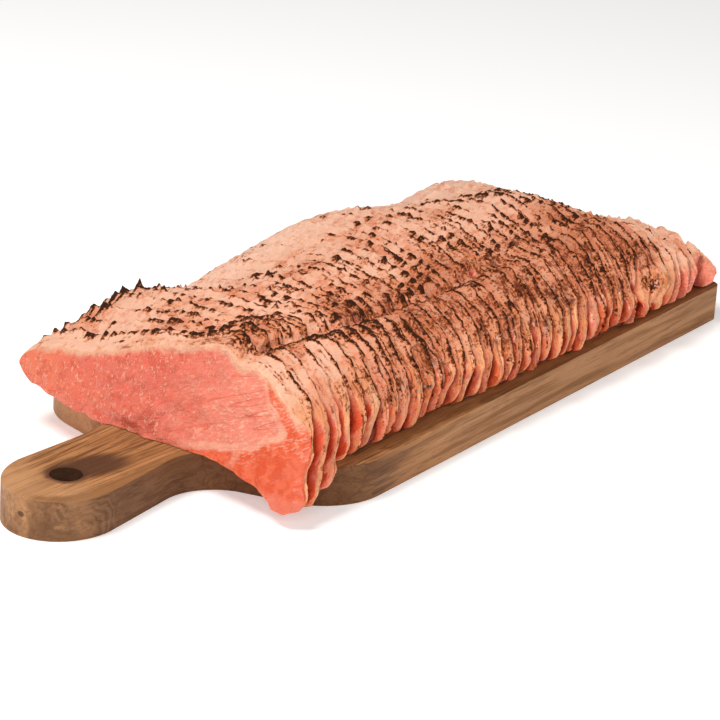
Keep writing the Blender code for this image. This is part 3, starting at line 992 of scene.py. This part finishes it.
def slice_fire(index, line):
    """Teeth on the lip, a weaker fold halfway, lumps, hollows, and how burnt they are."""
    back = line.plan_x - FRONT_FOOT
    fire = SimpleNamespace()
    fire.heat = heat = np.clip(heat_at(index + 0.5, line.plan_x, line.y), 0.0, 1.5)
    fire.shoulder = ease(-line.y, 0.038, 0.066)
    fire.front_left = ease(line.y, 0.01, 0.06) * (1 - ease(back, 0.08, 0.14))
    stretch = 1 + 0.9 * fire.shoulder - 0.3 * fire.front_left
    lip_height, fire.lip_burn = toothed(500 + index, line.walked, heat, stretch)
    fold_height, fire.fold_burn = toothed(900 + index, line.walked, heat - 0.05, stretch)
    crease = CREASE_START + CREASE_SLANT * back
    fire.quiet = 1 - 0.75 * ease(line.y, 0.066, 0.086) * ease(back, 0.105, 0.135)
    fire.quiet = fire.quiet * (1 - 0.55 * swell(line.y, crease, 0.0045) * line.on_top)
    tooth_height = TOOTH_HEIGHT + 0.0006 * fire.front_left
    fire.lip = (LIP_HEIGHT + tooth_height * lip_height) * fire.quiet
    fire.lip = fire.lip * (1 - 0.65 * line.right_wall) * (1 - 0.8 * line.left_wall)
    for owner, at, rise in FRONT_SPIKES:
        if owner == index:
            spike = np.exp(-(np.abs(line.y - at) / SPIKE_REACH) ** 1.5) * line.on_top
            fire.lip = fire.lip + rise * spike
            fire.lip_burn = np.maximum(fire.lip_burn, ease(spike, 0.4, 0.85))
    folded = unit(0.25 + 1.3 * drift(line.walked / 0.017, index * 2.3, 44))
    fire.folded = folded * (1 - 0.6 * fire.front_left) * fire.quiet
    fire.fold = (FOLD_HEIGHT + FOLD_TOOTH_HEIGHT * fold_height) * fire.folded
    fire.lump, fire.hollow = humps(LUMPS, index, line.y), humps(HOLLOWS, index, line.y)
    thin_line = 0.12 + 1.2 * drift(line.walked / 0.0052, index * 3.3, 45)
    fire.thin_line = unit(thin_line + 1.0 * (heat - 0.7))
    return fire


# %% [markdown]
# ## Relief of the rim
# On the right side the slices part from one another, belly out and crease, and one has
# come loose and curls up.  All of it is one number for every point of the rim's grid: how
# far the point stands out.  Numbers can be added up, so each feature is one line.

# %% The curl and the rim's relief


def down(values):
    """Values along the rim as a column, so that they meet the grid across it."""
    return np.asarray(values)[:, None]


def curl_fields(line, wall, pitch):
    """One slice has come loose and curls into a ring: its dome, dark eye and torn gap."""
    x = (down(line.plan_x) + pitch * ACROSS_RIM - CURL_AT[0]) / CURL_REACH[0]
    z = (down(line.middle) - CURL_AT[1]) / CURL_REACH[1]
    away = np.hypot(x, z)
    dome = wall * swell(x, 0.3, 0.7) * swell(z, 0.0, 0.8)
    eye = wall * swell(np.hypot((x + 0.25) / 0.5, (z - 0.12) / 0.5), 0.0, 1.0)
    return SimpleNamespace(
        dome=dome, eye=eye, ring=unit(1.6 * dome - eye),
        torn=wall * swell(x, -1.22, 0.24) * swell(z, 0.0, 0.9),
        settled=1 - wall * (1 - ease(away, 1.05, 1.45)),
        unburnt=wall * (1 - ease(away, 1.05, 1.3)),
        speckled=swell(eye, 0.45, 0.16) * (0.35 + 0.65 * ease(z - x, -0.3, 0.4)) * wall)


def rim_relief(index, line, fire, curl, wall):
    """How far each point of the rim stands out, and where it is open or torn."""
    grid = np.ones((len(line.y), 1)) * ACROSS_RIM
    relief = SimpleNamespace(grid=grid)
    apart = [down(parting(cut, line.middle)) for cut in (index, index + 1)]
    if index in (0, END_PIECE):
        apart[0] = 0 * apart[0]
    relief.wide, wide_behind = (ease(amount, 0.55, 1.0) for amount in apart)
    relief.low_down = down(1 - ease(line.middle, 0.018, 0.038))
    loose_front = 0.12 * float(1 <= index <= 5) * relief.low_down
    relief.open_to = 0.05 + (0.26 + loose_front) * wall * relief.wide
    if index == 0:
        relief.open_to = 0.05 + 0.4 * wall * relief.low_down

    # Groove, belly, creases and puffed feet of the right wall, then the curl.
    creased = unit(0.9 * drift(index * 3.3, 0.2, 47) + 0.55
                   + 0.5 * drift(line.walked / 0.012, index * 1.3, 48))
    crease_at = 0.6 + 0.12 * drift(line.walked / 0.01, index * 6.1, 49)
    relief.crease = down(creased * line.right_wall) * swell(grid, down(crease_at), 0.055)
    arch = np.sin(math.pi * grid)
    groove = GROOVE_DEPTH + PARTED_GROOVE_DEPTH * wall * apart[0] * curl.settled
    swayed = drift(line.walked / 0.009, index * 5.7, 46)
    offset = -groove * (1 - ease(grid, 0.0, relief.open_to + 0.12)) ** 1.3
    offset -= PARTED_REAR_DEPTH * wall * wide_behind * ease(grid, 0.76, 1.0) * curl.settled
    offset += BELLY_HEIGHT * wall * arch ** 0.8 * curl.settled
    offset -= CREASE_CUT * relief.crease * curl.settled
    offset += WALL_SWAY * wall * down(swayed) * curl.settled
    offset += line.puff * wall * down(swell(line.lift, 0.009, 0.006)) * arch
    offset += DOME_HEIGHT * curl.dome - EYE_DEPTH * curl.eye - TORN_DEPTH * curl.torn

    # The seared lip, the fold halfway, and what stands out of the top or is torn out of it.
    relief.sunk = down(ease(fire.hollow, 0.0, 0.002)) * swell(grid, 0.45, 0.26)
    offset -= down(fire.hollow) * swell(grid, 0.45, 0.26)
    lip_crest = ease(grid, 0.56, 0.92) * (1 - 0.5 * ease(grid, 0.95, 1.0))
    fold_crest = ease(grid, 0.16, 0.43) * (1 - ease(grid, 0.45, 0.56))
    offset += (down(fire.lip) * lip_crest + down(fire.fold) * fold_crest) * curl.settled
    offset += down(fire.lump) * arch ** 0.6
    relief.small_folds = []
    for at, seed in ((0.22, 51), (0.68, 52)):
        folded = ease(drift(line.walked / 0.0095, index * 1.9, seed), 0.05, 0.5)
        folded = folded * (1 - fire.front_left)
        crest = swell(grid, at, 0.062) * down(line.on_top)
        relief.small_folds.append((crest, folded))
        offset += SMALL_FOLD_HEIGHT * crest * down(folded)
    relief.offset = offset * down(line.foot_weight)
    return relief


# %% Places and burnt marks on the rim


def rim_places(index, line, curl, wall, relief):
    """Every point of the rim's grid: a share of the way between its two cuts."""
    grid, weight = relief.grid, down(line.foot_weight)
    sway = 0.5 + (grid - 0.5) * down(line.taper)
    opened = 0.24 * wall * relief.wide * weight * curl.settled
    sway = sway + (1 - sway) * opened * (1 - ease(grid, 0.0, 0.6))
    y = down(line.y) + down(line.out_y) * relief.offset
    height = down(line.front) + down(line.rear - line.front) * grid
    height = height + down(line.out_h) * relief.offset
    near = wandering_cut_x(index, y, height)
    far = wandering_cut_x(index + 1, y, height) - SLICE_GAP
    x = near + (far - near) * unit(sway)
    return np.stack([x, y, BOARD_THICKNESS + height], axis=-1)


def char_marks(line, fire, curl, wall, relief, chunk):
    """The char fades away from the lip and the folds; the shader makes its edge ragged."""
    grid, burn = relief.grid, down(fire.lip_burn)
    spread = 0.17 + 0.2 * ease(clump_at(line.plan_x, line.y), 0.15, 0.75)
    spread = down(spread + 0.3 * ease(fire.heat, 1.00, 1.45))
    fading = 0.07 + spread * burn * down(1 - 0.45 * fire.shoulder)
    fading = np.clip(1.15 - (0.97 - grid) / fading, 0.0, 1.15)
    char = fading * np.maximum(ease(burn, 0.05, 0.4),
                               (0.62 - 0.2 * wall) * down(fire.thin_line))
    marked = down(ease(fire.fold_burn, 0.1, 0.5) * fire.folded)
    char = np.maximum(char, 0.9 * marked * np.clip(1.1 - np.abs(grid - 0.43) / 0.1, 0.0, 1.0))
    for crest, folded in relief.small_folds:
        char = np.maximum(char, 0.62 * crest * down(folded * ease(fire.heat, 0.55, 1.0)))
    shaded = line.left_wall * (1 - ease(line.share, 0.5, 0.9))
    char = char * (1 - 0.15 * wall) * (1 - down(shaded)) * down(fire.quiet ** 0.5)
    char = char * (1 - chunk) * (1 - curl.unburnt)
    # The curl's sunken eye is painted dark brown, with char specks around it.
    eye_marks = np.maximum(0.5 * curl.speckled, 0.56 * ease(curl.eye, 0.3, 0.75))
    return np.maximum(char, eye_marks * (1 - chunk))


def rim_fields(index, line, fire, curl, wall, relief):
    """What the flesh material reads on the rim; the loose end piece is raw all over."""
    grid = relief.grid
    chunk = wall * float(ease(index, END_PIECE - 6.0, END_PIECE - 3.0))
    if index == END_PIECE:
        chunk = np.ones_like(grid)
    settled = curl.settled
    showing = (1 - ease(grid, relief.open_to - 0.04, relief.open_to)) * settled
    # Hollows, torn places and creases take the gap colours: raw red with painted shade.
    inside = np.maximum(ease(relief.sunk, 0.35, 0.75), ease(curl.torn, 0.2, 0.5))
    creased = ease(relief.crease, 0.45, 0.9) * settled
    browned = browned_at(index + grid, down(line.plan_x), down(line.y))
    seam = np.maximum(grid * settled + 0.5 * (1 - settled), 0.06 * float(index == 0))
    fields = {
        "seam": seam * (1 - 0.9 * inside) * (1 - 0.78 * creased),
        "raw": np.maximum.reduce([showing, ease(grid, 0.985, 1.0) * 0.9, chunk + 0 * grid, inside,
                                  0.7 * creased]),
        "fired": (np.clip(browned, 0.0, 1.3) * settled
                  * (1 - 0.15 * wall * down(ease(0.03 - line.lift, 0, 0.03)))),
        "char": char_marks(line, fire, curl, wall, relief, chunk),
        "wall": np.maximum(wall * (1 - chunk) * float(index > 0), inside),
        "side": wall,
        "tone": line.tone,
        "inset": np.maximum(1.2 * chunk, 1.4 * wall * relief.low_down * float(index == 0)),
        "rim": 0.0,
        "foot": down(line.lift),
        "gold": down(fire.lump / HIGHEST_LUMP) * 0.6 * ease(grid, 0.3, 0.8) + 0.3 * curl.ring}
    if index == END_PIECE:
        rind = ease(line.middle, END_PIECE_DEPTH - 0.0025, END_PIECE_DEPTH - 0.001)
        fields["wall"] = 0.0
        fields["inset"] = 1.3 - 0.5 * down(rind) - 0.9 * ease(grid, 0.78, 0.95)
    return {name: [np.broadcast_to(values, grid.shape).reshape(-1)]
            for name, values in fields.items()}


# %% [markdown]
# ## Closing the slice
# A sheet of rungs closes each cut face, from every point of the rim to the foot line.
# Only the first slice shows its face, so its sheet alone gets many rows and a slight
# bulge, and the others are one row deep.  The fields go on over the sheets.

# %% Sheets that close the cut faces
FACE_FIELDS = {"raw": 1.0, "fired": 0.0, "char": 0.0, "wall": 0.0, "tone": 0.5, "gold": 0.0,
               "side": 0.0}
LANE_STEP = 0.37


def foot_line(line):
    """Where the rung below each inner point of the rim ends, on the underside."""
    straight = (line.plain_y - line.plain_y[0]) / (line.plain_y[-1] - line.plain_y[0])
    share = 0.55 * straight + 0.45 * line.walked / line.walked[-1]
    y = (line.y[0] + (line.y[-1] - line.y[0]) * share)[1:-1]
    return y, np.interp(y, *line.under)


def cut_sheets(index, line, rim, column, pitch):
    """One cut face in rows of points, from the rim down to the foot line, with fields."""
    rear = float(column > 0)
    cut, count = (index + 1, 1) if rear else (index, FACE_ROWS if index == 0 else 1)
    edge_y, edge_h = rim[1:-1, column, 1], rim[1:-1, column, 2] - BOARD_THICKNESS
    foot_y, foot_h = foot_line(line)
    band = TOP_BAND - 0.001 * ease(line.y, 0.01, 0.05)
    band = band + (SIDE_BAND - band) * np.abs(line.out_y)
    for row in range(1, count + 1):
        share = row / count
        y = edge_y * (1 - share) + foot_y * share
        height = edge_h * (1 - share) + foot_h * share
        x = wandering_cut_x(cut, y, height) - SLICE_GAP * rear
        sheet = np.stack([x, y, BOARD_THICKNESS + height], axis=-1)
        gaps = np.sqrt(((sheet[:, None, 1:] - rim[None, :, column, 1:]) ** 2).sum(-1))
        clear = height - np.interp(y, *line.under)
        if count > 1:
            bulge = 0.001 * drift(y / 0.013, height / 0.011, 61)
            bulge = bulge + 0.0005 * drift(y / 0.004, height / 0.0035, 62)
            sheet[:, 0] -= bulge * ease(gaps.min(1), 0.0, 0.004) * ease(clear, 0.0, 0.003)
        merged = 1.4 * (1 - ease(height, 0.018, 0.038)) * ease(-y, 0.05, 0.07)
        fields = {name: np.full(len(y), value) for name, value in FACE_FIELDS.items()}
        fields.update({
            "seam": np.full(len(y), rear), "foot": clear, "rim": gaps.min(1),
            "inset": np.maximum((gaps / band).min(1), merged), "outward": 0 * sheet,
            "lane": np.stack([line.walked[1:-1], rear * pitch - (edge_h - height),
                              0 * y + LANE_STEP * index], axis=-1)})
        yield sheet, fields


# %% Build one slice


def strip(upper, under):
    """Four-cornered faces between two rows of points."""
    return np.stack([upper[:-1], upper[1:], under[1:], under[:-1]], axis=-1).tolist()


def build_slice(index):
    """The mesh of one slice with the fields its material and its searing read."""
    pitch = feet[index + 1] - feet[index]
    line = slice_line(index)
    fire = slice_fire(index, line)
    wall = down(line.right_wall)
    curl = curl_fields(line, wall, pitch)
    relief = rim_relief(index, line, fire, curl, wall)
    rim = rim_places(index, line, curl, wall, relief)
    fields = rim_fields(index, line, fire, curl, wall, relief)
    rows, columns = rim.shape[:2]
    push = down(line.foot_weight) * np.stack([0 * line.out_y, line.out_y, line.out_h], axis=-1)
    fields["outward"] = [np.repeat(push, columns, axis=0)]
    flat = 0 * relief.grid
    fields["lane"] = [np.stack([down(line.walked) + flat, pitch * relief.grid,
                                flat + LANE_STEP * index], axis=-1).reshape(-1, 3)]

    # Faces of the rim, of both cut faces, and of the underside between their lowest rows.
    numbers = np.arange(rows * columns).reshape(rows, columns)
    faces = np.stack([numbers[:-1, :-1], numbers[1:, :-1], numbers[1:, 1:], numbers[:-1, 1:]],
                     axis=-1).reshape(-1, 4).tolist()
    vertices, total, lowest = [rim.reshape(-1, 3)], rows * columns, []
    for column in (0, columns - 1):
        layers = [numbers[1:-1, column]]
        for sheet, values in cut_sheets(index, line, rim, column, pitch):
            vertices.append(sheet)
            for name, value in values.items():
                fields[name].append(value)
            layers.append(total + np.arange(rows - 2))
            total += rows - 2
        for upper, under in zip(layers, layers[1:]):
            faces += strip(upper, under)
        for end, beside in ((0, 1), (-1, -2)):
            faces.append([int(number) for number in (
                numbers[end, column], numbers[beside, column],
                *(layer[end] for layer in layers[1:]))])
        lowest.append(layers[-1])
    near_row, far_row = lowest
    faces += strip(near_row, far_row)
    for end in (0, -1):
        faces.append([*numbers[end].tolist(), int(far_row[end]), int(near_row[end])])

    made = add_mesh(f"slice_{index + 1:02d}_base", np.concatenate(vertices).tolist(), faces)
    for name, parts in fields.items():
        values = np.concatenate(parts).astype(np.float32)
        kind, key = ("FLOAT", "value") if values.ndim == 1 else ("FLOAT_VECTOR", "vector")
        made.data.attributes.new(name, kind, "POINT").data.foreach_set(key, values.reshape(-1))
    return made


# %% [markdown]
# ## Searing the edges
# The fire left every lip frayed and the skin between them slightly blistered.  The same
# frayed edge repeats on all slices, so one Geometry Nodes tree does it: it pushes the
# rim outwards by noise that is strong on the lip and faint elsewhere, with another seed
# for every slice.

# %% The searing tree
SEAR_SIZES = {"Fray height": 0.0011, "Fray width": 0.0015,
              "Blister height": 0.00035, "Blister width": 0.0024}


def searing_tree():
    tree = bpy.data.node_groups.new("seared_edge", "GeometryNodeTree")
    face = tree.interface
    face.new_socket("Geometry", in_out="OUTPUT", socket_type="NodeSocketGeometry")
    face.new_socket("Geometry", in_out="INPUT", socket_type="NodeSocketGeometry")
    for name in (*SEAR_SIZES, "Seed"):
        face.new_socket(name, in_out="INPUT", socket_type="NodeSocketFloat")
    face.new_socket("Flesh", in_out="INPUT", socket_type="NodeSocketMaterial")
    recipe = Recipe(tree)
    geometry, fray, fray_width, blister, blister_width, seed, material = recipe.node(
        "NodeGroupInput")[:7]
    place = recipe.node("GeometryNodeInputPosition")[0]

    def field(name, kind):
        return recipe.node("GeometryNodeInputNamedAttribute", {"data_type": kind},
                           {"Name": name})[0]

    def noise(width):
        made = recipe.node("ShaderNodeTexNoise", {"noise_dimensions": "4D"},
                           {"Vector": place, "W": seed, "Scale": 1.0 / width, "Detail": 2.0})
        return made[0] - 0.5

    push = field("char", "FLOAT") * fray * (noise(fray_width) * 2.0 + 0.4)
    push = push + blister * noise(blister_width) * 2.0
    shift = recipe.node("ShaderNodeVectorMath", {"operation": "SCALE"},
                        {0: field("outward", "FLOAT_VECTOR"), "Scale": push})[0]
    moved = recipe.node("GeometryNodeSetPosition", None,
                        {"Geometry": geometry, "Offset": shift})[0]
    real = recipe.node("GeometryNodeRealizeInstances", None, {"Geometry": moved})[0]
    done = recipe.node("GeometryNodeSetMaterial", None, {"Geometry": real, "Material": material})[0]
    recipe.node("NodeGroupOutput", None, {"Geometry": done})
    return tree


sear = searing_tree()
SEAR_INPUTS = {item.name: item.identifier for item in sear.interface.items_tree
               if item.in_out == "INPUT"}
print("searing inputs:", ", ".join(SEAR_INPUTS))


def seared(base, name, seed):
    """Run the searing on a mesh and keep the result as a plain mesh object."""
    modifier = base.modifiers.new("made", "NODES")
    modifier.node_group = sear
    for label, value in {**SEAR_SIZES, "Seed": seed, "Flesh": flesh}.items():
        modifier[SEAR_INPUTS[label]] = value
    mesh = plain_mesh(base)
    bpy.data.objects.remove(base)
    mesh.name = name
    return add_object(name, mesh)


# %% All slices
SMOOTH_LIMIT = math.radians(58)
SEED_STEP = 3.7

triangles = 0
for index in range(SLICE_COUNT):
    base = build_slice(index)
    bm = bmesh.new()
    bm.from_mesh(base.data)
    bmesh.ops.recalc_face_normals(bm, faces=bm.faces)
    if bm.calc_volume(signed=True) < 0:
        bmesh.ops.reverse_faces(bm, faces=bm.faces)
    bm.to_mesh(base.data)
    bm.free()
    piece = seared(base, f"trout_slice_{index + 1:02d}", index * SEED_STEP)
    piece.data.polygons.foreach_set("use_smooth", [True] * len(piece.data.polygons))
    piece.data.set_sharp_from_angle(angle=SMOOTH_LIMIT)
    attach(piece, "root")
    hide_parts(f"slice_{index + 1:02d}")
    triangles += sum(len(polygon.vertices) - 2 for polygon in piece.data.polygons)
print(SLICE_COUNT, "slices with", triangles, "triangles")

# %% [markdown]
# ## The board
# The real board is one plank, sawn to a paddle, its handle worn round by hands.  The
# solid's outline is drawn again with finer arcs, filled as a flat curve, given its
# thickness and rounded along its rims, so that the worn handle reads as round.

# %% Board outline
ARC_STEPS = 22
CORNER_STEPS = 8
HOLE_STEPS = 56
HOLE_RADIUS = HANG_HOLE_DIAMETER / 2
HOLE_ROUNDING = 0.0006


def add_arc(path, heading, radius, turn, steps):
    """Extend the path by an arc; a positive turn bears left."""
    x, y = path[-1]
    side = math.copysign(radius, turn)
    for step in range(1, steps + 1):
        angle = heading + turn * step / steps
        path.append((x + side * (math.sin(angle) - math.sin(heading)),
                     y - side * (math.cos(angle) - math.cos(heading))))
    return heading + turn


def board_half_outline():
    """Plan of the +Y half, from the handle's tip to the middle of the far end."""
    path = []
    for step in range(ARC_STEPS + 1):
        angle = math.pi / 2 * step / ARC_STEPS
        path.append((HANDLE_END + HANDLE_TIP_LENGTH * (1 - math.cos(angle)),
                     HANDLE_TIP_HALF_WIDTH * math.sin(angle)))
    path.append((NECK_X, NECK_HALF_WIDTH))
    heading = add_arc(path, 0.0, NECK_RADIUS, SHOULDER_TURN, ARC_STEPS)
    flat = SHOULDER_RISE / math.sin(SHOULDER_TURN)
    x, y = path[-1]
    path.append((x + flat * math.cos(heading), y + flat * math.sin(heading)))
    add_arc(path, heading, SHOULDER_RADIUS, -SHOULDER_TURN, ARC_STEPS)
    path.append((BOARD_LENGTH / 2 - FAR_CORNER_RADIUS, BOARD_HALF))
    add_arc(path, 0.0, FAR_CORNER_RADIUS, -math.pi / 2, CORNER_STEPS)
    return path


def hanging_hole():
    angles = [math.tau * step / HOLE_STEPS for step in range(HOLE_STEPS)]
    return [(HOLE_X + HOLE_RADIUS * math.cos(angle), HOLE_RADIUS * math.sin(angle))
            for angle in angles]


# %% Board mesh


def board_plank():
    """The outline with its hole as a filled curve, thickened to a plank and made a mesh."""
    half_outline = board_half_outline()
    outline = half_outline + [(x, -y) for x, y in reversed(half_outline[1:])]
    curve = bpy.data.curves.new("board_plan", "CURVE")
    curve.dimensions = "2D"
    curve.fill_mode = "BOTH"
    curve.extrude = BOARD_THICKNESS / 2
    for points in (outline, hanging_hole()):
        spline = curve.splines.new("POLY")
        spline.points.add(len(points) - 1)
        for point, (x, y) in zip(spline.points, points):
            point.co = (x, y, 0.0, 1.0)
        spline.use_cyclic_u = True
    plan = add_object("board_plan", curve)
    mesh = plain_mesh(plan)
    bpy.data.objects.remove(plan)
    return mesh


def edge_rounding(edge):
    """How round the board is worn at one edge; 0 where the edge is no rim."""
    low, high = sorted(vert.co.z for vert in edge.verts)
    if high - low > 1e-5 or len(edge.link_faces) != 2:
        return 0.0
    if abs(edge.link_faces[0].normal.z - edge.link_faces[1].normal.z) < 0.5:
        return 0.0
    middle = (edge.verts[0].co + edge.verts[1].co) / 2
    if math.hypot(middle.x - HOLE_X, middle.y) < HOLE_RADIUS + 0.001:
        return HOLE_ROUNDING
    if low <= 0.0:
        return EDGE_ROUNDING
    share = float(ease(middle.x, NECK_X + NECK_RADIUS, NECK_X - NECK_RADIUS))
    return EDGE_ROUNDING + (HANDLE_ROUNDING - EDGE_ROUNDING) * share


def worn_board():
    mesh = board_plank()
    bm = bmesh.new()
    bm.from_mesh(mesh)
    bmesh.ops.remove_doubles(bm, verts=bm.verts, dist=1e-5)
    bmesh.ops.dissolve_limit(bm, angle_limit=0.002, verts=bm.verts, edges=bm.edges)
    bmesh.ops.recalc_face_normals(bm, faces=bm.faces)
    weights = bm.edges.layers.float.new("bevel_weight_edge")
    for edge in bm.edges:
        edge[weights] = edge_rounding(edge) / HANDLE_ROUNDING
    for vert in bm.verts:
        vert.co.z += BOARD_THICKNESS / 2
    bm.to_mesh(mesh)
    bm.free()
    board = add_object("paddle_board", mesh)
    bevel = board.modifiers.new("worn_edges", "BEVEL")
    bevel.limit_method = "WEIGHT"
    bevel.width = HANDLE_ROUNDING
    bevel.segments = 7
    bevel.harden_normals = True
    return board


board = worn_board()
print("plank with", len(board.data.vertices), "corners before its rims are rounded")

# %% [markdown]
# ## The wood
# Oiled hardwood shows long fine pores and slow bands of darker growth along the plank,
# with rings on the sawn ends.  The same noise, stretched twenty times along the board,
# gives both.  The hole was burnt through, so a grey scorch trails from it.

# %% Wood colours and places
WOOD_LIGHT = (0.58, 0.27, 0.105)
WOOD_MID = (0.38, 0.155, 0.052)
WOOD_DARK = (0.105, 0.04, 0.014)
WOOD_PALE = (0.64, 0.34, 0.17)
WOOD_SAWN = (0.4, 0.19, 0.078)
WOOD_SAWN_DARK = (0.25, 0.105, 0.034)
WOOD_SCORCH = (0.085, 0.034, 0.015)
GRAIN_SLANT = 0.07
GRAIN_STRAIGHT_FROM = -0.15
KNOT_AT = (-0.001, 0.0118)
EYE_AT = (-0.23, 0.006)
RING_TURN = 1900.0
SCORCH_AT = (-0.2005, -0.002)
SCORCH_REACH = (0.022, 0.0125)

# %% Wood material


def wood_material():
    material, recipe, place = new_material("oiled_hardwood")
    smooth, line, noise = recipe.smooth, recipe.line, recipe.noise
    upright = recipe.attribute("upright")
    flat = 1 - upright
    x, y, z = recipe.apart(place)

    # The grain slants across the handle and straightens under the fish.
    slant = smooth(y, 0.02, -0.022) * GRAIN_SLANT
    slanted = recipe.join(x, y + (x.smaller(GRAIN_STRAIGHT_FROM) - HOLE_X) * slant, z)
    grain_place = recipe.stretch(slanted, 0.05)
    band = recipe.patches(grain_place, 0.012, 3.0, 0.55, 0.6)
    streak = recipe.patches(grain_place, 0.0032, 4.0, 0.6, 0.3, 0.35, 0.65)
    grain = line(noise(recipe.stretch(slanted, 0.03), 0.006, 2.0, 0.5, 0.4), 0.5, 0.022)
    pore = noise(recipe.stretch(slanted, 0.09), 0.0012, 3.0, 0.65)
    cloud = recipe.patches(place, 0.045, 3.0, 0.5, 0.0, 0.35, 0.65)
    stain = recipe.patches(place, 0.009, 3.0, 0.6, 0.0, 0.42, 0.68)
    tip_top = smooth(x, -0.205, -0.24) * (1 - upright * 0.6)
    coats = [(band, WOOD_MID),
             (smooth(streak, 0.45, 0.95) * 0.5, WOOD_DARK),
             (grain * 0.6, WOOD_DARK),
             (smooth(pore, 0.53, 0.66) * 0.5, WOOD_DARK),
             (cloud * 0.15, WOOD_DARK),
             (tip_top * (0.35 + cloud * 0.35), WOOD_PALE)]

    # The long sawn sides are plainer, with short fine dashes.
    sawn = recipe.coats(WOOD_SAWN,
                        (smooth(streak + band, 0.5, 1.6), WOOD_SAWN_DARK),
                        (smooth(pore, 0.54, 0.64) * 0.5, WOOD_SAWN_DARK))
    coats += [(upright * smooth(x, -0.075, -0.02) * 0.8, sawn),
              (upright * smooth(y, 0.03, 0.06) * 0.65, WOOD_PALE)]

    # The handle's near flank is much darker; the tip has stains, a knot and painted shade.
    near_flank = upright * smooth(y, 0.01, -0.014)
    near_flank = near_flank * smooth(x, -0.035, -0.12) * smooth(x, -0.246, -0.222)
    ragged_x, _, ragged_z = recipe.apart(recipe.jitter(place, 0.009, 0.012))
    eye_x, eye_z = ragged_x - EYE_AT[0], ragged_z - EYE_AT[1]
    growth = (eye_x * eye_x * 0.6 + eye_z * eye_z) ** 0.5
    rings = growth.maths("SINE", growth * RING_TURN) * 0.5 + 0.5
    figure = rings * smooth(growth, 0.022, 0.008)
    tip = upright * smooth(x, -0.226, -0.24)
    shade = smooth(z, 0.017, 0.001) * 0.4 + smooth(y, -0.002, -0.026) * 0.4
    shade = shade + line(y + (stain - 0.5) * 0.004, -0.0125, 0.0075) * 0.6
    knot_y, knot_z = y - KNOT_AT[0], z - KNOT_AT[1]
    knot = smooth(knot_y * knot_y * 0.5 + knot_z * knot_z, 3.0e-6, 0.8e-6)
    coats += [(near_flank * 0.82, WOOD_DARK),
              (upright * figure * smooth(y, 0.000, -0.012) * 0.16, WOOD_PALE),
              (tip * 0.3, WOOD_PALE),
              (tip * (shade + stain * 0.5).smaller(1.0) * 0.75, WOOD_DARK),
              (knot * smooth(x, -0.24, -0.246) * 0.85, WOOD_SCORCH)]

    # Juice stains and painted shadow darken the ledge along the slices' feet.
    juice_and_shadow_ledge = smooth(y, -0.084, -0.094) * flat * smooth(x, -0.09, -0.06)
    coats += [(juice_and_shadow_ledge * (0.35 + stain * 0.35), WOOD_SAWN_DARK)]

    # The handle's near rim is as dark as its flank.
    from_turn = (x - (HANDLE_END + HANDLE_TIP_LENGTH)).smaller(0.0) / HANDLE_TIP_LENGTH
    reach = from_turn * from_turn + y * y / NECK_HALF_WIDTH ** 2
    dark_near_rim = smooth(reach + (stain - 0.5) * 0.1, 0.58, 0.82) * smooth(y, 0.000, -0.01)
    coats += [(dark_near_rim * flat * smooth(x, -0.12, -0.15) * 0.72, WOOD_SAWN_DARK)]

    # A scorch lies beside the hanging hole and trails off in two dark lines.
    aside = x - SCORCH_AT[0]
    across = (y - SCORCH_AT[1] + aside * 0.25) / SCORCH_REACH[1]
    oval = aside * aside / SCORCH_REACH[0] ** 2 + across * across
    scorch = smooth(oval + streak * 0.5, 1.75, 0.55)
    strayed = y + (band - 0.5) * 0.004
    tail = line(strayed, 0.0098, 0.0013).larger(line(strayed, -0.004, 0.0016))
    tail = tail * smooth(x, -0.158, -0.186) * smooth(x, -0.214, -0.204)
    around = (x - HOLE_X) * (x - HOLE_X) + y * y
    ring = smooth(around + (band - 0.5) * 0.00005, 0.00016, 0.00008)
    coats += [(scorch.larger(tail * 0.7) * 0.93, WOOD_SCORCH), (ring * 0.85, WOOD_SCORCH)]
    return finish_material(material, recipe, {
        "Base Color": recipe.coats(WOOD_LIGHT, *coats),
        "Roughness": 0.52 + streak * 0.15,
        "Specular IOR Level": 0.22,
    }, (0.6, 0.0006, pore * 0.7 + streak * 0.3 - grain * 0.4 - knot))


wood = wood_material()

# %% Finish the board
worn_mesh = plain_mesh(board)
board.modifiers.clear()
board.data = worn_mesh
worn_mesh.name = "paddle_board"
normals = np.empty(len(worn_mesh.vertices) * 3, np.float32)
worn_mesh.vertices.foreach_get("normal", normals)
upright = 1.0 - ease(np.abs(normals[2::3]), 0.2, 0.95).astype(np.float32)
worn_mesh.attributes.new("upright", "FLOAT", "POINT").data.foreach_set("value", upright)
worn_mesh.materials.clear()
worn_mesh.materials.append(wood)
worn_mesh.polygons.foreach_set("use_smooth", [True] * len(worn_mesh.polygons))
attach(board, "root")
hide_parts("board")
print("board:", [round(n, 4) for n in board.dimensions])

# %% [markdown]
# ## Finish

# %% Finish
bpy.context.view_layer.update()
